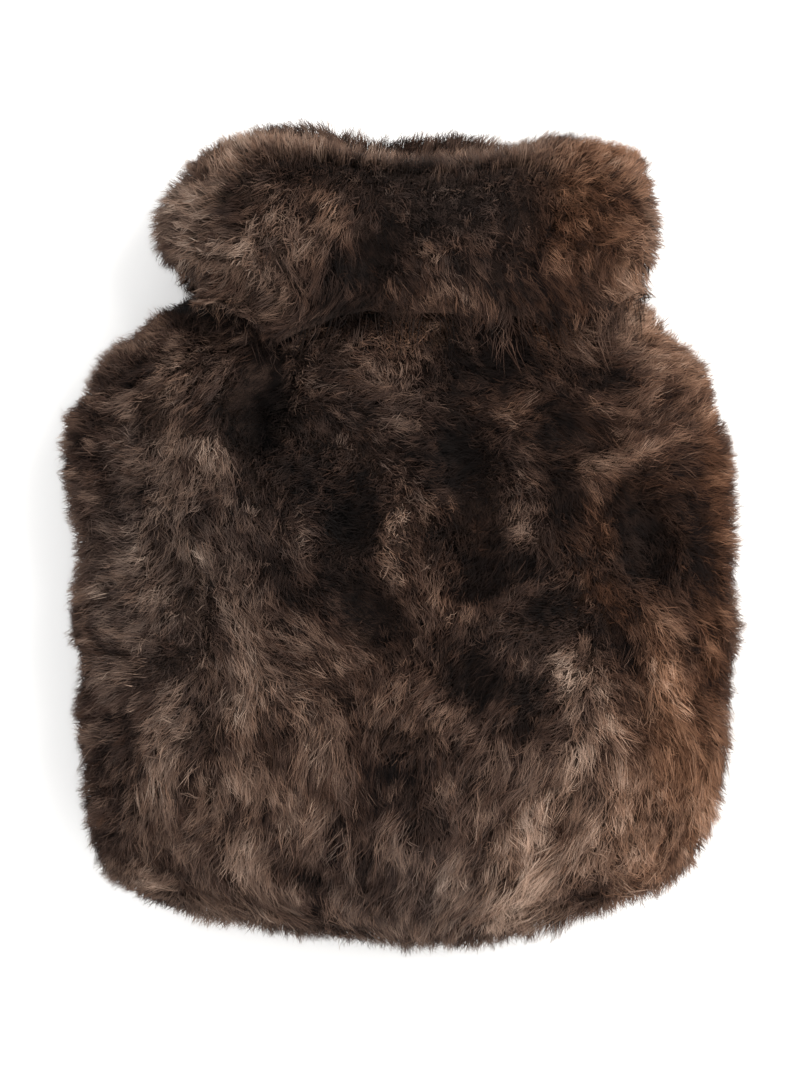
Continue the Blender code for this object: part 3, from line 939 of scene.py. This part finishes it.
def ribbons(name, path, out, width, tone, warmth, chance):
    """One mesh of flat tapering ribbons along the paths, each ending in a point.

    The flat faces away from the hide. Normals are rounded over the width, as on a fibre, and the map lays
    each ribbon in a cell of its own.
    """
    count, points = path.shape[:2]
    along = np.gradient(path, axis=1)
    along /= length(along)
    flat = np.cross(along, out[:, None])
    flat /= length(flat)
    face = np.cross(flat, along)
    roll = chance.normal(0, FIBRE_ROLL, (count, 1, 1))
    side = flat * np.cos(roll) + face * np.sin(roll)
    face = np.cross(side, along)
    s = np.linspace(0, 1, points)[None, :, None]
    half = width[:, None, None] / 2 * (1 - TAPER * s)
    left, right = (path - side * half)[:, :-1], (path + side * half)[:, :-1]
    places = np.concatenate((np.stack((left, right), axis=2).reshape(count, -1, 3), path[:, -1:]), axis=1)
    soft = face * SOFT_FACE + out[:, None] * SOFT_OUT
    turned = np.stack(((soft - side * SOFT_SIDE)[:, :-1], (soft + side * SOFT_SIDE)[:, :-1]), axis=2)
    turned = np.concatenate((turned.reshape(count, -1, 3), soft[:, -1:]), axis=1)
    turned /= length(turned)

    each = 2 * points - 1
    first = (np.arange(count) * each)[:, None]
    quads = np.array([(2 * k, 2 * k + 1, 2 * k + 3, 2 * k + 2) for k in range(points - 2)]).ravel()
    corners = np.concatenate((quads, (each - 3, each - 2, each - 1)))
    corners = (first + corners[None, :]).ravel().astype(np.int32)
    sizes = np.tile(np.array([4] * (points - 2) + [3], dtype=np.int32), count)
    mesh = bpy.data.meshes.new(name)
    mesh.vertices.add(count * each)
    mesh.vertices.foreach_set("co", places.astype(np.float32).ravel())
    mesh.loops.add(len(corners))
    mesh.loops.foreach_set("vertex_index", corners)
    mesh.polygons.add(len(sizes))
    mesh.polygons.foreach_set("loop_start", (np.cumsum(sizes) - sizes).astype(np.int32))
    mesh.update(calc_edges=True)
    mesh.shade_smooth()

    rise = np.repeat(np.linspace(0, 1, points), 2)[:each]
    marks = (np.broadcast_to(value, (count, each)) for value in (rise, tone[:, None], warmth[:, None]))
    mark_fibres(mesh, *marks)
    across = int(np.ceil(np.sqrt(count * CELLS_WIDE)))
    up = int(np.ceil(count / across))
    edge = np.tile(CELL_EDGE, points)[:each]
    edge[-1] = 0.5
    number = np.arange(count)[:, None]
    cell_x = (number % across + edge) / across
    cell = np.stack((cell_x, (number // across + CELL_FOOT + CELL_LENGTH * rise) / up), axis=-1)
    laid = mesh.uv_layers.new(name="OFBake")
    laid.uv.foreach_set("vector", cell.reshape(-1, 2)[corners].astype(np.float32).ravel())
    mesh.normals_split_custom_set_from_vertices(turned.reshape(-1, 3))
    piece = bpy.data.objects.new(name, mesh)
    scene.collection.objects.link(piece)
    return piece


def wool_material():
    """Wool fibre: its colour follows the fibre attribute, with a soft sheen and little gloss."""
    material, tree, surface = fibre_coloured("wool")
    surface.inputs["Roughness"].default_value = 0.6
    surface.inputs["Specular IOR Level"].default_value = 0.04
    surface.inputs["Sheen Weight"].default_value = 0.02
    surface.inputs["Sheen Roughness"].default_value = 0.5
    surface.inputs["Sheen Tint"].default_value = (1.0, 0.82, 0.68, 1)
    return material


wool_fibre = wool_material()

# How each layer of wool stands, in metres: crimp is how far the wave goes, stray how far locks turn
# from their neighbours in radians, gather how far a lock's tips come together
UNDERCOAT = dict(
    depth=0.0105, drop=0.0020, uneven=0.0010, spread=0.0024, loose=0.0016, stray=0.30,
    gather=0.25, points=3, waves=1.0, crimp=0.0010,
)
LOCKS = dict(
    depth=0.0120, drop=-0.0006, uneven=0.0020, spread=0.0017, loose=0.0011, stray=0.28,
    gather=0.58, points=3, waves=1.0, crimp=0.0010,
)
STRAYS = dict(
    depth=0.0120, drop=-0.0014, uneven=0.0016, spread=0.0011, loose=0.0012, stray=0.6,
    gather=0.45, points=6, waves=1.8, crimp=0.0009,
)
TUFT, FIELD = 0.0042, 0.016  # sizes of the tufts that locks form, and of the fields of tufts
STREAK_STEP, STREAK_GAIN = 0.7, 1.9  # of a cell, and what brings the mean's spread back to about 1
TUFT_PART, FIELD_PART = 0.65, 0.5  # how much tufts and fields add to the rise
PARTING_CELL, PARTING_WIDTH = FIELD * 0.7, 0.13  # how far apart partings lie, and how wide they are


def streaked(place, lean, cell, seed):
    """Random values from about -1 to 1 in streaks along the lean: the mean of the drift at five places."""
    ahead = lean / length(lean) * cell * STREAK_STEP
    return sum(drift(place + ahead * step, cell, seed) for step in (-2, -1, 0, 1, 2)) / 5 * STREAK_GAIN


def tufted(place, lean, seed):
    """How high the wool stands in its tufts, -1 to 1, how near a parting is, 0 to 1, and how tufts turn."""
    rise = TUFT_PART * streaked(place, lean, TUFT, seed) + FIELD_PART * drift(place, FIELD, seed + 1)
    parting = np.exp(-((streaked(place, lean, PARTING_CELL, seed + 2) / PARTING_WIDTH) ** 2))
    return rise, parting, drift(place, FIELD, seed + 3)


PANEL_WOOL_DEPTH = 0.020
# How far up locks grow under the collar: left of its lobe, and on the right in front and at the side
LOBE_X, LEFT_TOP_Y, FRONT_TOP_Y, SIDE_TOP_MORE = -0.055, 0.107, 0.100, 0.008
COMB_REACH = 17  # millimetres round an arrow in which it counts
BACK_FAN, BACK_DOWN = 4.0, -0.8  # lean behind: outwards for each metre from the middle, and down the cover
EDGE_HANG, EDGE_HEIGHT = 0.8, 0.015  # how far wool hangs at the edge, fading towards the table
# How far wool puffs out at the edge, in rises of a tuft: on the right, on the left, and more at the foot
RIGHT_PUFF, LEFT_PUFF, FOOT_PUFF = 1.8, 0.8, 0.7

panel_thick = np.full((*panel_wool.shape[:2], 1), PANEL_WOOL_DEPTH)


def panel_roots(band, spacing, chance):
    """Rows and columns of the locks in a band of heights, as far up as the collar's hem lets them show."""
    row, column = scattered(panel_wool, spacing, 4, chance)
    place = read(panel_wool, row, column)
    sideways = 1 - np.abs(read(panel_out, row, column)[:, 2])
    highest = np.where(place[:, 0] < LOBE_X, LEFT_TOP_Y, FRONT_TOP_Y + SIDE_TOP_MORE * sideways)
    kept = (place[:, 2] >= band[0]) & (place[:, 2] < band[1]) & (place[:, 1] < highest)
    return row[kept], column[kept]


def laid_lean(place, out, arrows, reach, fan):
    """Lean in X and Y: the combed arrows in front, and behind down the cover and outwards."""
    front = combed(place[:, 0], place[:, 1], arrows, reach)
    behind = np.stack((place[:, 0] * fan, np.full(len(place), BACK_DOWN)), axis=-1)
    share = np.clip(out[:, 2:] * 2 + 1, 0, 1)
    return (front * share + behind * (1 - share)) * LEAN


def off_table(height, least):
    """0 by the table and 1 well above it: height / EDGE_HEIGHT - least, held between them."""
    return np.clip(height / EDGE_HEIGHT - least, 0, 1)


def panel_lean(place, out, arrows):
    """Lean of the panels' locks: laid as combed, and hanging at the edge."""
    lean = laid_lean(place, out, arrows, COMB_REACH, BACK_FAN)
    hang = -EDGE_HANG * LEAN * (1 - np.abs(out[:, 2:])) * off_table(place[:, 2:], 0.2)
    return np.concatenate((lean, hang), axis=1)


# Slow drifts of the colour, and over what distance
TONE_DRIFT, TONE_CELL = 0.06, 0.045
WARMTH_DRIFT, WARMTH_CELL = 0.15, 0.05
RIM_LIGHT_TONE, TUFT_LIGHT_TONE, PARTING_SHADE_TONE = 0.10, 0.34, 0.22  # painted rim light at the edges, painted light on the tufts' heads, and painted shade in the partings
LOCK_TONE, FIBRE_TONE, LOCK_WARMTH = 0.10, 0.03, 0.1  # spread of the chance in each lock and fibre
BED_ALONG, BED_TONE, BED_WARMTH = 0.3, 0.43, 0.35  # how far up its fibres a bed lies, which darkens it with painted shade as at the roots, and its colour
WOOL_WARMTH = 0.28


def on_front(height):
    """1 on the front and 0 under the cover: height / SEAM_HEIGHT - 0.4, held between them."""
    return np.clip(height / SEAM_HEIGHT - 0.4, 0, 1)


def coloured(tip, out, lock, tufts, tone, warmth, patches, chance):
    """Tone and warmth of each fibre: the base, slow drifts, the patches, and the lock's and its own chance.

    Painted light makes wool paler at the cover's edges and at the heads of its tufts, and painted shade
    makes it darker in the partings.
    """
    added = patched(tip[:, 0], tip[:, 1], patches)
    front = on_front(tip[:, 2])
    locks = lock.max() + 1
    tone = tone + added[0] * front + TONE_DRIFT * drift(tip, TONE_CELL, 11)
    # painted rim light: paler where the wool faces sideways at the cover's edges
    tone = tone + RIM_LIGHT_TONE * (1 - np.abs(out[:, 2])) ** 2
    # painted light on the tufts' heads and painted shade in the partings, with each lock's own chance
    lock_tone = TUFT_LIGHT_TONE * tufts[0] - PARTING_SHADE_TONE * tufts[1] + chance.normal(0, LOCK_TONE, locks)
    tone = tone + lock_tone[lock]
    tone = tone + chance.normal(0, FIBRE_TONE, len(lock))
    warmth = warmth + added[1] * front + WARMTH_DRIFT * drift(tip, WARMTH_CELL, 13)
    warmth = warmth + chance.normal(0, LOCK_WARMTH, locks)[lock]
    return np.clip(tone, 0, 1), np.clip(warmth, 0, 1)


def tint_bed(piece, patches):
    """Fibre attribute of a bed: low on its fibres, so darkened with painted shade as roots are, with the
    patches' tone and warmth on the front.
    """
    places = np.empty(len(piece.data.vertices) * 3, dtype=np.float32)
    piece.data.vertices.foreach_get("co", places)
    x, y, z = places.reshape(-1, 3).astype(float).T
    tone, warmth = patched(x, y, patches) * on_front(z)
    tone, warmth = np.clip(BED_TONE + tone, 0, 1), np.clip(BED_WARMTH + warmth, 0, 1)
    mark_fibres(piece.data, np.full(len(x), BED_ALONG), tone, warmth)


tint_bed(front_bed, PATCHES)
tint_bed(back_bed, PATCHES)


def wool_layer(name, path, out, widths, tones, chance):
    """Ribbons along the paths as one piece, made of wool."""
    piece = ribbons(name, path, out, widths, *tones, chance)
    piece.data.materials.append(wool_fibre)
    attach(piece, "root")
    return piece


def panel_wool_piece(name, band, spacing, per_lock, look, width, tone, seed):
    """One layer of the panels' wool, in a band of heights. It puffs out at the edge as in high tufts."""
    chance = np.random.default_rng(seed)
    row, column = panel_roots(band, spacing, chance)
    place, out = read(panel_wool, row, column), read(panel_out, row, column)
    out /= length(out)
    lean = panel_lean(place, out, COMBED)
    tufts = tufted(place, lean, 5)
    puff = np.where(place[:, 0] > 0, RIGHT_PUFF, LEFT_PUFF) + FOOT_PUFF * np.clip(-out[:, 1], 0, 1)
    edge = (1 - np.abs(out[:, 2])) * off_table(place[:, 2], 0.3) * puff
    lifted = (tufts[0] + edge, *tufts[1:])
    path, fibre_out, lock = strands(
        panel_wool, panel_out, panel_thick, True, row, column, lean, lifted, per_lock, look, chance
    )
    tones = coloured(path[:, -1], fibre_out, lock, tufts, tone, WOOL_WARMTH, PATCHES, chance)
    widths = width * chance.uniform(*OWN_WIDTH, len(lock))
    return wool_layer(name, path, fibre_out, widths, tones, chance)


# Bands of height over the table. Each layer then has its name, band, distance between locks, fibres to a
# lock, how it stands, a fibre's width, tone and seed
FRONT, SIDES, UNDERSIDE = (SEAM_HEIGHT, 0.1), (0.004, SEAM_HEIGHT), (0, 0.004)
front_undercoat = panel_wool_piece("front_undercoat", FRONT, LOCK, 8, UNDERCOAT, 0.00050, 0.25, 21)
front_locks_a = panel_wool_piece("front_locks_a", FRONT, LOCK * 1.15, 15, LOCKS, 0.00024, 0.35, 22)
front_locks_b = panel_wool_piece("front_locks_b", FRONT, LOCK * 0.75, 6, LOCKS, 0.00024, 0.35, 23)
front_strays = panel_wool_piece("front_strays", FRONT, LOCK * 2.4, 4, STRAYS, 0.00018, 0.47, 24)
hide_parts("front_panel")

side_undercoat = panel_wool_piece("side_undercoat", SIDES, LOCK, 6, UNDERCOAT, 0.00060, 0.25, 31)
side_locks = panel_wool_piece("side_locks", SIDES, LOCK, 9, LOCKS, 0.00032, 0.35, 32)
back_wool = panel_wool_piece("back_wool", UNDERSIDE, LOCK * 1.4, 6, UNDERCOAT, 0.00060, 0.35, 33)
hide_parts("back_panel")


# ---------------------------------------------------------------------------------------------------
# Collar
# A strip of sheepskin closed to a ring and sewn round the mouth with its wool inwards, then turned down
# over the neck, so that its wool shows. It stands in the mouth, rolls over the edge and falls outside.
# ---------------------------------------------------------------------------------------------------

LAID_GAP = 0.0010  # between the collar and the neck that it lies on
STAND_END_Y = 0.1250  # how deep the collar's stand reaches into the mouth
STAND_WOOL, HEM_WOOL = 0.0055, 0.0065  # wool pressed in the mouth, and at the hem
STAND_SHOULDER = 0.0040  # from the neck's cut edge up to where the stand bends into the roll
HEM_SHARE = 0.25  # how soon the fall swells
ROLL_RISE = 0.006  # least rise of the roll over the fall's last ring
HEM_ROUNDS, HEM_EASE = 12, 0.4  # rounds that find the x of the hem's points, and how far each goes
HEM_WAVE, WAVE_CELL, WAVE_APART = 0.003, 0.012, 0.02  # how far locks move the hem, and over what distance
# How loosely the hem hangs, 1 in front: least on the right and left, and the sine where it starts to rise
SLACK_RIGHT, SLACK_LEFT, SLACK_FROM, SLACK_OVER = 0.5, 0.15, 0.25, 0.5
# Rings under the hem, where its locks hang over the body: how far below, how far over the body's wool, and
# how much lower where the hem merges with it, as it does in front on the right
HANGING_RINGS = ((0.018, -0.004, 0), (0.009, 0.0, 0.001), (0.0045, 0.0035, 0.002))
MERGING_OVER, MERGED_HANG, MERGED_SINK, MERGED_SWELL = 0.04, 0.4, 0.003, 0.3
SAG_HEIGHT = 0.012  # up to it the body's folds fade in under the hanging locks
LOBE, LOBE_MIDDLE, LOBE_HALF = 0.004, -0.052, 0.022  # how far the left lobe stands up, and where
FALL_RINGS, ROLL_TURNS, FINER = 9, (30, 60, 90, 125), 5  # rings of the fall, angles of the roll, and steps

# Outline of the collar's wool from its hem up to where it rolls over
COLLAR_OUTLINE = table(
    "y left right top bottom",
    (
        (86, -95, 103.5, 37, 27),
        (93, -98, 105.5, 39, 30),
        (101, -99.5, 106, 39.5, 33),
        (110, -100.5, 106.5, 39.5, 35),
        (122, -101.5, 107, 40, 36),
        (134, -97.5, 105.5, 39, 36),
        (143, -93, 103.5, 37, 34.5),
        (150, -89, 102, 33, 31),
    ),
)

# Levels of the collar's hem and of its roll across the cover, in front and behind
HEM = table(
    "x front back",
    (
        (-91, 102, 100),
        (-84, 101, 96),
        (-76, 98, 92),
        (-66, 90, 89),
        (-57, 81, 87),
        (-50, 75, 86),
        (-43, 77, 86),
        (-34, 83, 85),
        (-20, 87, 85),
        (6, 88, 85),
        (30, 88, 85),
        (60, 86, 86),
        (84, 90, 90),
        (97, 97, 98),
    ),
)
ROLL = table(
    "x front back",
    (
        (-79, 153, 153),
        (-72, 159, 161),
        (-52, 161, 172),
        (-36, 159, 171),
        (-14, 154, 166),
        (6, 151, 167),
        (24, 153, 168),
        (44, 157, 163),
        (66, 161, 167),
        (81, 158, 159),
    ),
)

# The crease left of the collar's middle, the fold on its right, and the full left lobe
COLLAR_FOLDS = (
    (-14, 108, 20, 8, 6, 58),
    (45, 118, 26, 10, 3, 80),
    (-62, 118, 24, 12, -3, 95),
)

# Which way the collar's locks lean, as on the front
COLLAR_COMBED = (
    (-98, 121, 182, 0.9),
    (-86, 150, 140, 0.8),
    (-82, 121, 188, 0.9),
    (-82, 98, 235, 0.35),
    (-57, 117, 212, 0.8),
    (-57, 90, 240, 0.55),
    (-33, 137, 290, 0.8),
    (-20, 112, 295, 0.8),
    (-33, 96, 272, 0.8),
    (-41, 161, 100, 0.8),
    (-49, 141, 250, 0.7),
    (0, 133, 280, 0.5),
    (20, 129, 270, 0.25),
    (41, 133, 270, 0.3),
    (16, 104, 285, 0.7),
    (57, 129, 300, 0.6),
    (66, 96, 265, 0.8),
    (82, 137, 320, 0.6),
    (98, 129, 0, 0.9),
    (98, 100, 300, 0.6),
    (82, 96, 278, 0.8),
    (41, 96, 275, 0.9),
    (23, 165, 80, 0.8),
    (66, 161, 60, 0.8),
    (94, 157, 45, 0.8),
    (-70, 165, 120, 0.8),
)

# Patches of the collar's wool, as on the front: dark ones are painted shade in its creases and in the
# mouth's slit and painted shadow under its hem, and paler ones on its left lobe, right edge and crest are
# partly painted light.
COLLAR_PATCHES = (
    (22, 118, 58, 34, 0, -0.20, 0.0),
    (-86, 128, 30, 18, 90, 0.36, -0.15),
    (-94, 130, 26, 10, 90, 0.04, -0.05),
    (-66, 121, 14, 10, 120, -0.12, 0.0),
    (-72, 155, 15, 7, 10, 0.25, 0.05),
    (-58, 106, 24, 12, 60, 0.28, -0.05),
    (-46, 148, 16, 8, 140, -0.30, 0.0),
    (-43, 131, 8, 6, 120, -0.22, 0.0),
    (-31, 126, 18, 6, 118, 0.34, 0.25),
    (-20, 150, 16, 8, 170, -0.11, 0.0),
    (5, 148, 15, 4, 20, -0.42, 0.0),
    (-5, 113, 11, 5, 70, -0.36, 0.0),
    (-26, 98, 12, 7, 60, -0.36, 0.0),
    (-19, 84, 13, 6, 165, -0.60, 0.0),
    (20, 130, 24, 14, 0, 0.04, -0.30),
    (16, 112, 15, 5, 10, 0.12, 0.1),
    (23, 103, 6, 4, 0, -0.31, 0.0),
    (48, 98, 20, 12, 90, -0.30, 0.2),
    (68, 106, 26, 14, 90, -0.12, 0.35),
    (-12, 98, 14, 9, 0, -0.22, 0.0),
    (72, 130, 24, 15, 90, 0.13, 0.75),
    (84, 116, 22, 5, 95, -0.14, 0.3),
    (94, 136, 24, 14, 90, -0.06, 0.65),
    (100, 110, 22, 11, 100, 0.30, 0.35),
    (95, 94, 14, 11, 115, 0.42, 0.3),
    (85, 158, 20, 7, 0, 0.15, 0.45),
    (72, 88, 12, 10, 90, -0.06, 0.3),
    (10, 87, 22, 8, 0, 0.12, 0.2),
    (10, 162, 80, 8, 0, 0.22, 0.05),
)


def edge_levels(levels, x, angle):
    """Level of an edge at x, from its front column on the front half and its back column behind."""
    ahead, behind = (through(x, levels["x"], levels[side]) for side in ("front", "back"))
    return np.where(np.sin(angle) >= 0, ahead, behind)


def finer(rings, times):
    """Rings between rings: the cubic through them with the slope of the chords on either side."""
    slopes = np.gradient(rings, axis=0)
    at = np.linspace(0, len(rings) - 1, (len(rings) - 1) * times + 1)
    i = np.minimum(at.astype(int), len(rings) - 2)
    s = (at - i)[:, None, None]
    start = (1 + 2 * s) * (1 - s) ** 2 * rings[i] + s * (1 - s) ** 2 * slopes[i]
    return start + s * s * (3 - 2 * s) * rings[i + 1] + s * s * (s - 1) * slopes[i + 1]


def bell(x, middle, half):
    """1 in the middle, falling off on both sides: exp(-((x - middle) / half)^2)."""
    return np.exp(-(((x - middle) / half) ** 2))


def collar_rings(columns):
    """Rings of the collar's section, from under its hem up its outside, over the roll and down the stand.

    Returned are the rings where the wool ends, and for each the ring of hide that it grows from. The fall
    swells from the hem's thin oval to the collar's full one. The roll is a quarter ellipse, then a drop.
    """
    angle = np.linspace(0, 2 * np.pi, columns + 1)
    neck_x = wool_points(angle, np.full_like(angle, NECK_TOP_Y))[0]
    roll = edge_levels(ROLL, neck_x, angle)
    hem_x = neck_x
    for _ in range(HEM_ROUNDS):
        hem = edge_levels(HEM, hem_x, angle)
        hem_x = (1 - HEM_EASE) * hem_x + HEM_EASE * wool_points(angle, hem, LAID_GAP)[0]
    around = np.stack((neck_x, 0 * angle, np.sign(np.sin(angle)) * WAVE_APART), axis=-1)
    hem = hem + HEM_WAVE * drift(around, WAVE_CELL, 9)
    level = np.full_like(angle, NECK_TOP_Y)
    ends, feet = [], []

    def ring(x, y, height):
        return np.stack((x, y, np.maximum(SEAM_HEIGHT + height, TABLE_GAP)), axis=-1)

    def laid(y):
        x, height = wool_points(angle, np.minimum(y, NECK_TOP_Y), LAID_GAP)
        return ring(x, np.minimum(y, NECK_TOP_Y + SEWN_GAP), height)

    least = np.where(neck_x > 0, SLACK_RIGHT, SLACK_LEFT)
    slack = least + (1 - least) * np.clip((np.abs(np.sin(angle)) - SLACK_FROM) / SLACK_OVER, 0, 1)
    pressed = np.where(neck_x < 0, slack, 1)
    merging = np.clip(neck_x / MERGING_OVER + 0.3, 0, 1) * np.clip((np.sin(angle) - 0.3) / 0.3, 0, 1)
    for below, lifted, sunk in HANGING_RINGS:
        y = hem - below * slack * (1 + MERGED_HANG * merging)
        x, height = wool_points(angle, y, lifted * pressed - sunk * merging)
        sag = np.clip(height / SAG_HEIGHT, 0, 1) * hollow(x, y, FRONT_FOLDS + FRONT_CREASES)
        ends.append(ring(x, y, height - sag))
        feet.append(laid(y) - np.stack((0 * sag, 0 * sag, sag), axis=-1))

    levels, *sides = COLLAR_OUTLINE.values()
    lobe = LOBE * bell(neck_x, LOBE_MIDDLE, LOBE_HALF) * (np.sin(angle) > 0)
    for share in np.linspace(0, 1, FALL_RINGS):
        at = levels[0] + share * (levels[-1] - levels[0])
        left, right, top, bottom = (through(at, levels, side) for side in sides)
        y = hem + share * (np.minimum(levels[-1], roll - ROLL_RISE) - hem)
        full_x, full_height = oval(angle, left, right, np.where(np.sin(angle) >= 0, top, bottom))
        thin = LAID_GAP + HEM_WOOL * (0.5 + 0.5 * pressed) - MERGED_SINK * merging + lobe
        thin_x, thin_height = wool_points(angle, y, thin)
        swell = np.sin(np.minimum(share / (HEM_SHARE + MERGED_SWELL * merging), 1) * np.pi / 2)
        x = thin_x + swell * (full_x - thin_x)
        height = thin_height + swell * (full_height - thin_height)
        fade = np.clip(height / (FOLD_FADE * top), 0, 1) * swell
        height = height - fade * hollow(x, y, COLLAR_FOLDS)
        ends.append(ring(x, y, height))
        feet.append(laid(y))

    # The roll starts from x, y and height of the fall's last ring
    stand_x, stand_height = hide_points(angle, level, -LAID_GAP - STAND_WOOL)
    inner_x, inner_height = hide_points(angle, level, -LAID_GAP)
    inner = np.array((inner_x, level, inner_height))
    outer = np.array((laid(level)[:, 0], level, laid(level)[:, 2] - SEAM_HEIGHT))
    for turn in np.radians(ROLL_TURNS):
        part = (1 - np.cos(turn)) / 2
        over_x, over_height = x + (stand_x - x) * part, height + (stand_height - height) * part
        ends.append(ring(over_x, y + (roll - y) * np.sin(turn), over_height))
        feet.append(ring(*(inner * part + outer * (1 - part))))
    for stand_y in (NECK_TOP_Y + STAND_SHOULDER, STAND_END_Y):
        ends.append(ring(stand_x, np.full_like(angle, stand_y), stand_height))
        feet.append(ring(inner_x, np.full_like(angle, min(stand_y, NECK_TOP_Y)), inner_height))
    return finer(np.array(ends), FINER), finer(np.array(feet), FINER)


COLLAR_COLUMNS = 240
HEM_ROW, HIDE_ROW, ROLL_ROW = 15, 28, 62  # rows where the hem is, where its hide ends, and up on the roll
INSIDE_ROW, INSIDE_Y = 70, 0.150  # the stand: past this row, and below this level
BED_FILL, HIDE_FILL = 0.58, 0.12  # how far up the wool the bed goes, and how far the hide keeps it off
THIN_ROWS, THIN_FILL = 7, 0.6  # rows over the hem in which the bed is thinner, down to this share
collar_wool, collar_foot = collar_rings(COLLAR_COLUMNS)
collar_out = outward(collar_wool)
collar_thick = length(collar_wool - collar_foot)

hide_rings = collar_foot[HIDE_ROW::2, ::3][:, :-1]
collar_hide = joined("collar_hide", hide_rings, loops=True, ends="open")
collar_wall = collar_hide.modifiers.new("hide_thickness", "SOLIDIFY")
collar_wall.thickness = HIDE
collar_wall.offset = 1
collar_hide.data.materials.append(suede)
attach(collar_hide, "root")

collar_rows = np.arange(len(collar_wool))[:, None, None]
bed_fill = BED_FILL * np.clip((collar_rows - HEM_ROW) / THIN_ROWS, THIN_FILL, 1)
hide_fill = HIDE_FILL * (collar_rows > HIDE_ROW + 1)
bed_outer, bed_inner = (
    (collar_foot + (collar_wool - collar_foot) * fill)[HEM_ROW::2, ::3] for fill in (bed_fill, hide_fill)
)
bed_rings = np.concatenate((bed_outer, bed_inner[::-1]))[:, :-1]
collar_bed = joined("collar_wool_bed", bed_rings, loops=True, ends="round")
collar_bed.data.materials.append(dense_wool)
tint_bed(collar_bed, COLLAR_PATCHES)
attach(collar_bed, "root")


COLLAR_REACH, COLLAR_FAN = 15, 5.0  # millimetres round an arrow, and how the lean behind fans out
SIDE_HANG, HANG_TOP_Y, HANG_OVER = 0.5, 0.145, 0.02  # how far wool hangs at the sides, below which level
STAND_LEAN, STAND_SWAY = 0.009, 0.004  # in the mouth the wool points upwards and sways
HEM_COMB, HEM_COMB_ROWS = 0.0015, 12  # the hem's locks lean down more, and over how many rows
# How the roll's crest stands up, more over the left lobe, how it leans back, how much paler painted light
# makes it, and its width in rows
CREST, LOBE_CREST, LOBE_CREST_X, LOBE_CREST_HALF = 0.6, 0.9, -0.043, 0.016
CREST_LEAN, CREST_LIGHT_TONE, CREST_ROWS = 0.006, 0.3, 6
SIDE_LIFT = 1.6  # how far wool stands up at the sides
OVERHANG_ROWS, OVERHANG_FROM, OVERHANG_OVER = 10, 0.15, 0.3  # rows of hanging locks, by the angle's sine
HEM_THIN = 0.55  # width of the hanging locks' fibres, as a share


def collar_lean(place, out):
    """Lean of the collar's locks: laid as combed, and hanging at the sides."""
    lean = laid_lean(place, out, COLLAR_COMBED, COLLAR_REACH, COLLAR_FAN)
    side = 1 - np.abs(out[:, 2:])
    lean[:, 1:] -= SIDE_HANG * LEAN * side * np.clip((HANG_TOP_Y - place[:, 1:2]) / HANG_OVER, 0, 1)
    return np.concatenate((lean, -SIDE_HANG * LEAN * side), axis=1)


def collar_wool_piece(name, rows, spacing, per_lock, look, width, tone, seed):
    """One layer of the collar's wool, between two rows of its surface. It stands up on the roll's crest,
    which painted light makes paler.
    """
    chance = np.random.default_rng(seed)
    row, column = scattered(collar_wool, spacing, 3, chance)
    aside = np.abs(np.sin(column * 2 * np.pi / COLLAR_COLUMNS))
    overhang = OVERHANG_ROWS * np.clip((aside - OVERHANG_FROM) / OVERHANG_OVER, 0, 1)
    kept = (row >= rows[0]) & (row < rows[1]) & (row >= HEM_ROW + 2 - overhang)
    row, column = row[kept], column[kept]
    place, out = read(collar_wool, row, column), read(collar_out, row, column)
    out /= length(out)
    inside = (row > INSIDE_ROW) & (place[:, 1] < INSIDE_Y)
    lean = collar_lean(place, out)
    lean[inside] = (0, STAND_LEAN, 0)
    lean[inside, 0] = STAND_SWAY * drift(place[inside], 0.02, 15)
    lean[:, 1] -= HEM_COMB * np.clip((HEM_ROW + HEM_COMB_ROWS - row) / HEM_COMB_ROWS, 0, 1)
    rise, parting, swirl = tufted(place, lean, 7)
    crest = bell(row, ROLL_ROW, CREST_ROWS)
    crest = crest * (CREST + LOBE_CREST * bell(place[:, 0], LOBE_CREST_X, LOBE_CREST_HALF))
    lean[:, 1] += CREST_LEAN * crest
    lift = crest + SIDE_LIFT * (1 - np.abs(out[:, 2])) * (1 - np.minimum(crest, 1)) * ~inside
    parting = parting * (1 - 0.5 * np.minimum(crest, 1))
    lifted = rise + lift, parting, swirl
    path, fibre_out, lock = strands(
        collar_wool, collar_out, collar_thick, False, row, column, lean, lifted, per_lock, look, chance
    )
    # painted light on the roll's crest
    tufts = rise + CREST_LIGHT_TONE * crest, parting
    tones = coloured(path[:, -1], fibre_out, lock, tufts, tone, WOOL_WARMTH, COLLAR_PATCHES, chance)
    widths = width * chance.uniform(*OWN_WIDTH, len(lock)) * np.where(row < HEM_ROW, HEM_THIN, 1)[lock]
    return wool_layer(name, path, fibre_out, widths, tones, chance)


# Bands of rows: with the hanging locks, from the hem up, and on the roll. Layers are given as on the panels
WITH_HEM, FALL = (HEM_ROW - 7, len(collar_wool)), (HEM_ROW, len(collar_wool))
ON_ROLL = ROLL_ROW - 8, ROLL_ROW + 8
collar_undercoat = collar_wool_piece("collar_undercoat", WITH_HEM, LOCK, 6, UNDERCOAT, 0.00054, 0.25, 41)
collar_locks = collar_wool_piece("collar_locks", FALL, LOCK, 17, LOCKS, 0.00024, 0.35, 42)
collar_strays = collar_wool_piece("collar_strays", FALL, LOCK * 2.4, 4, STRAYS, 0.00018, 0.47, 43)
roll_locks = collar_wool_piece("roll_locks", ON_ROLL, LOCK, 9, LOCKS, 0.00022, 0.42, 44)
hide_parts("collar")
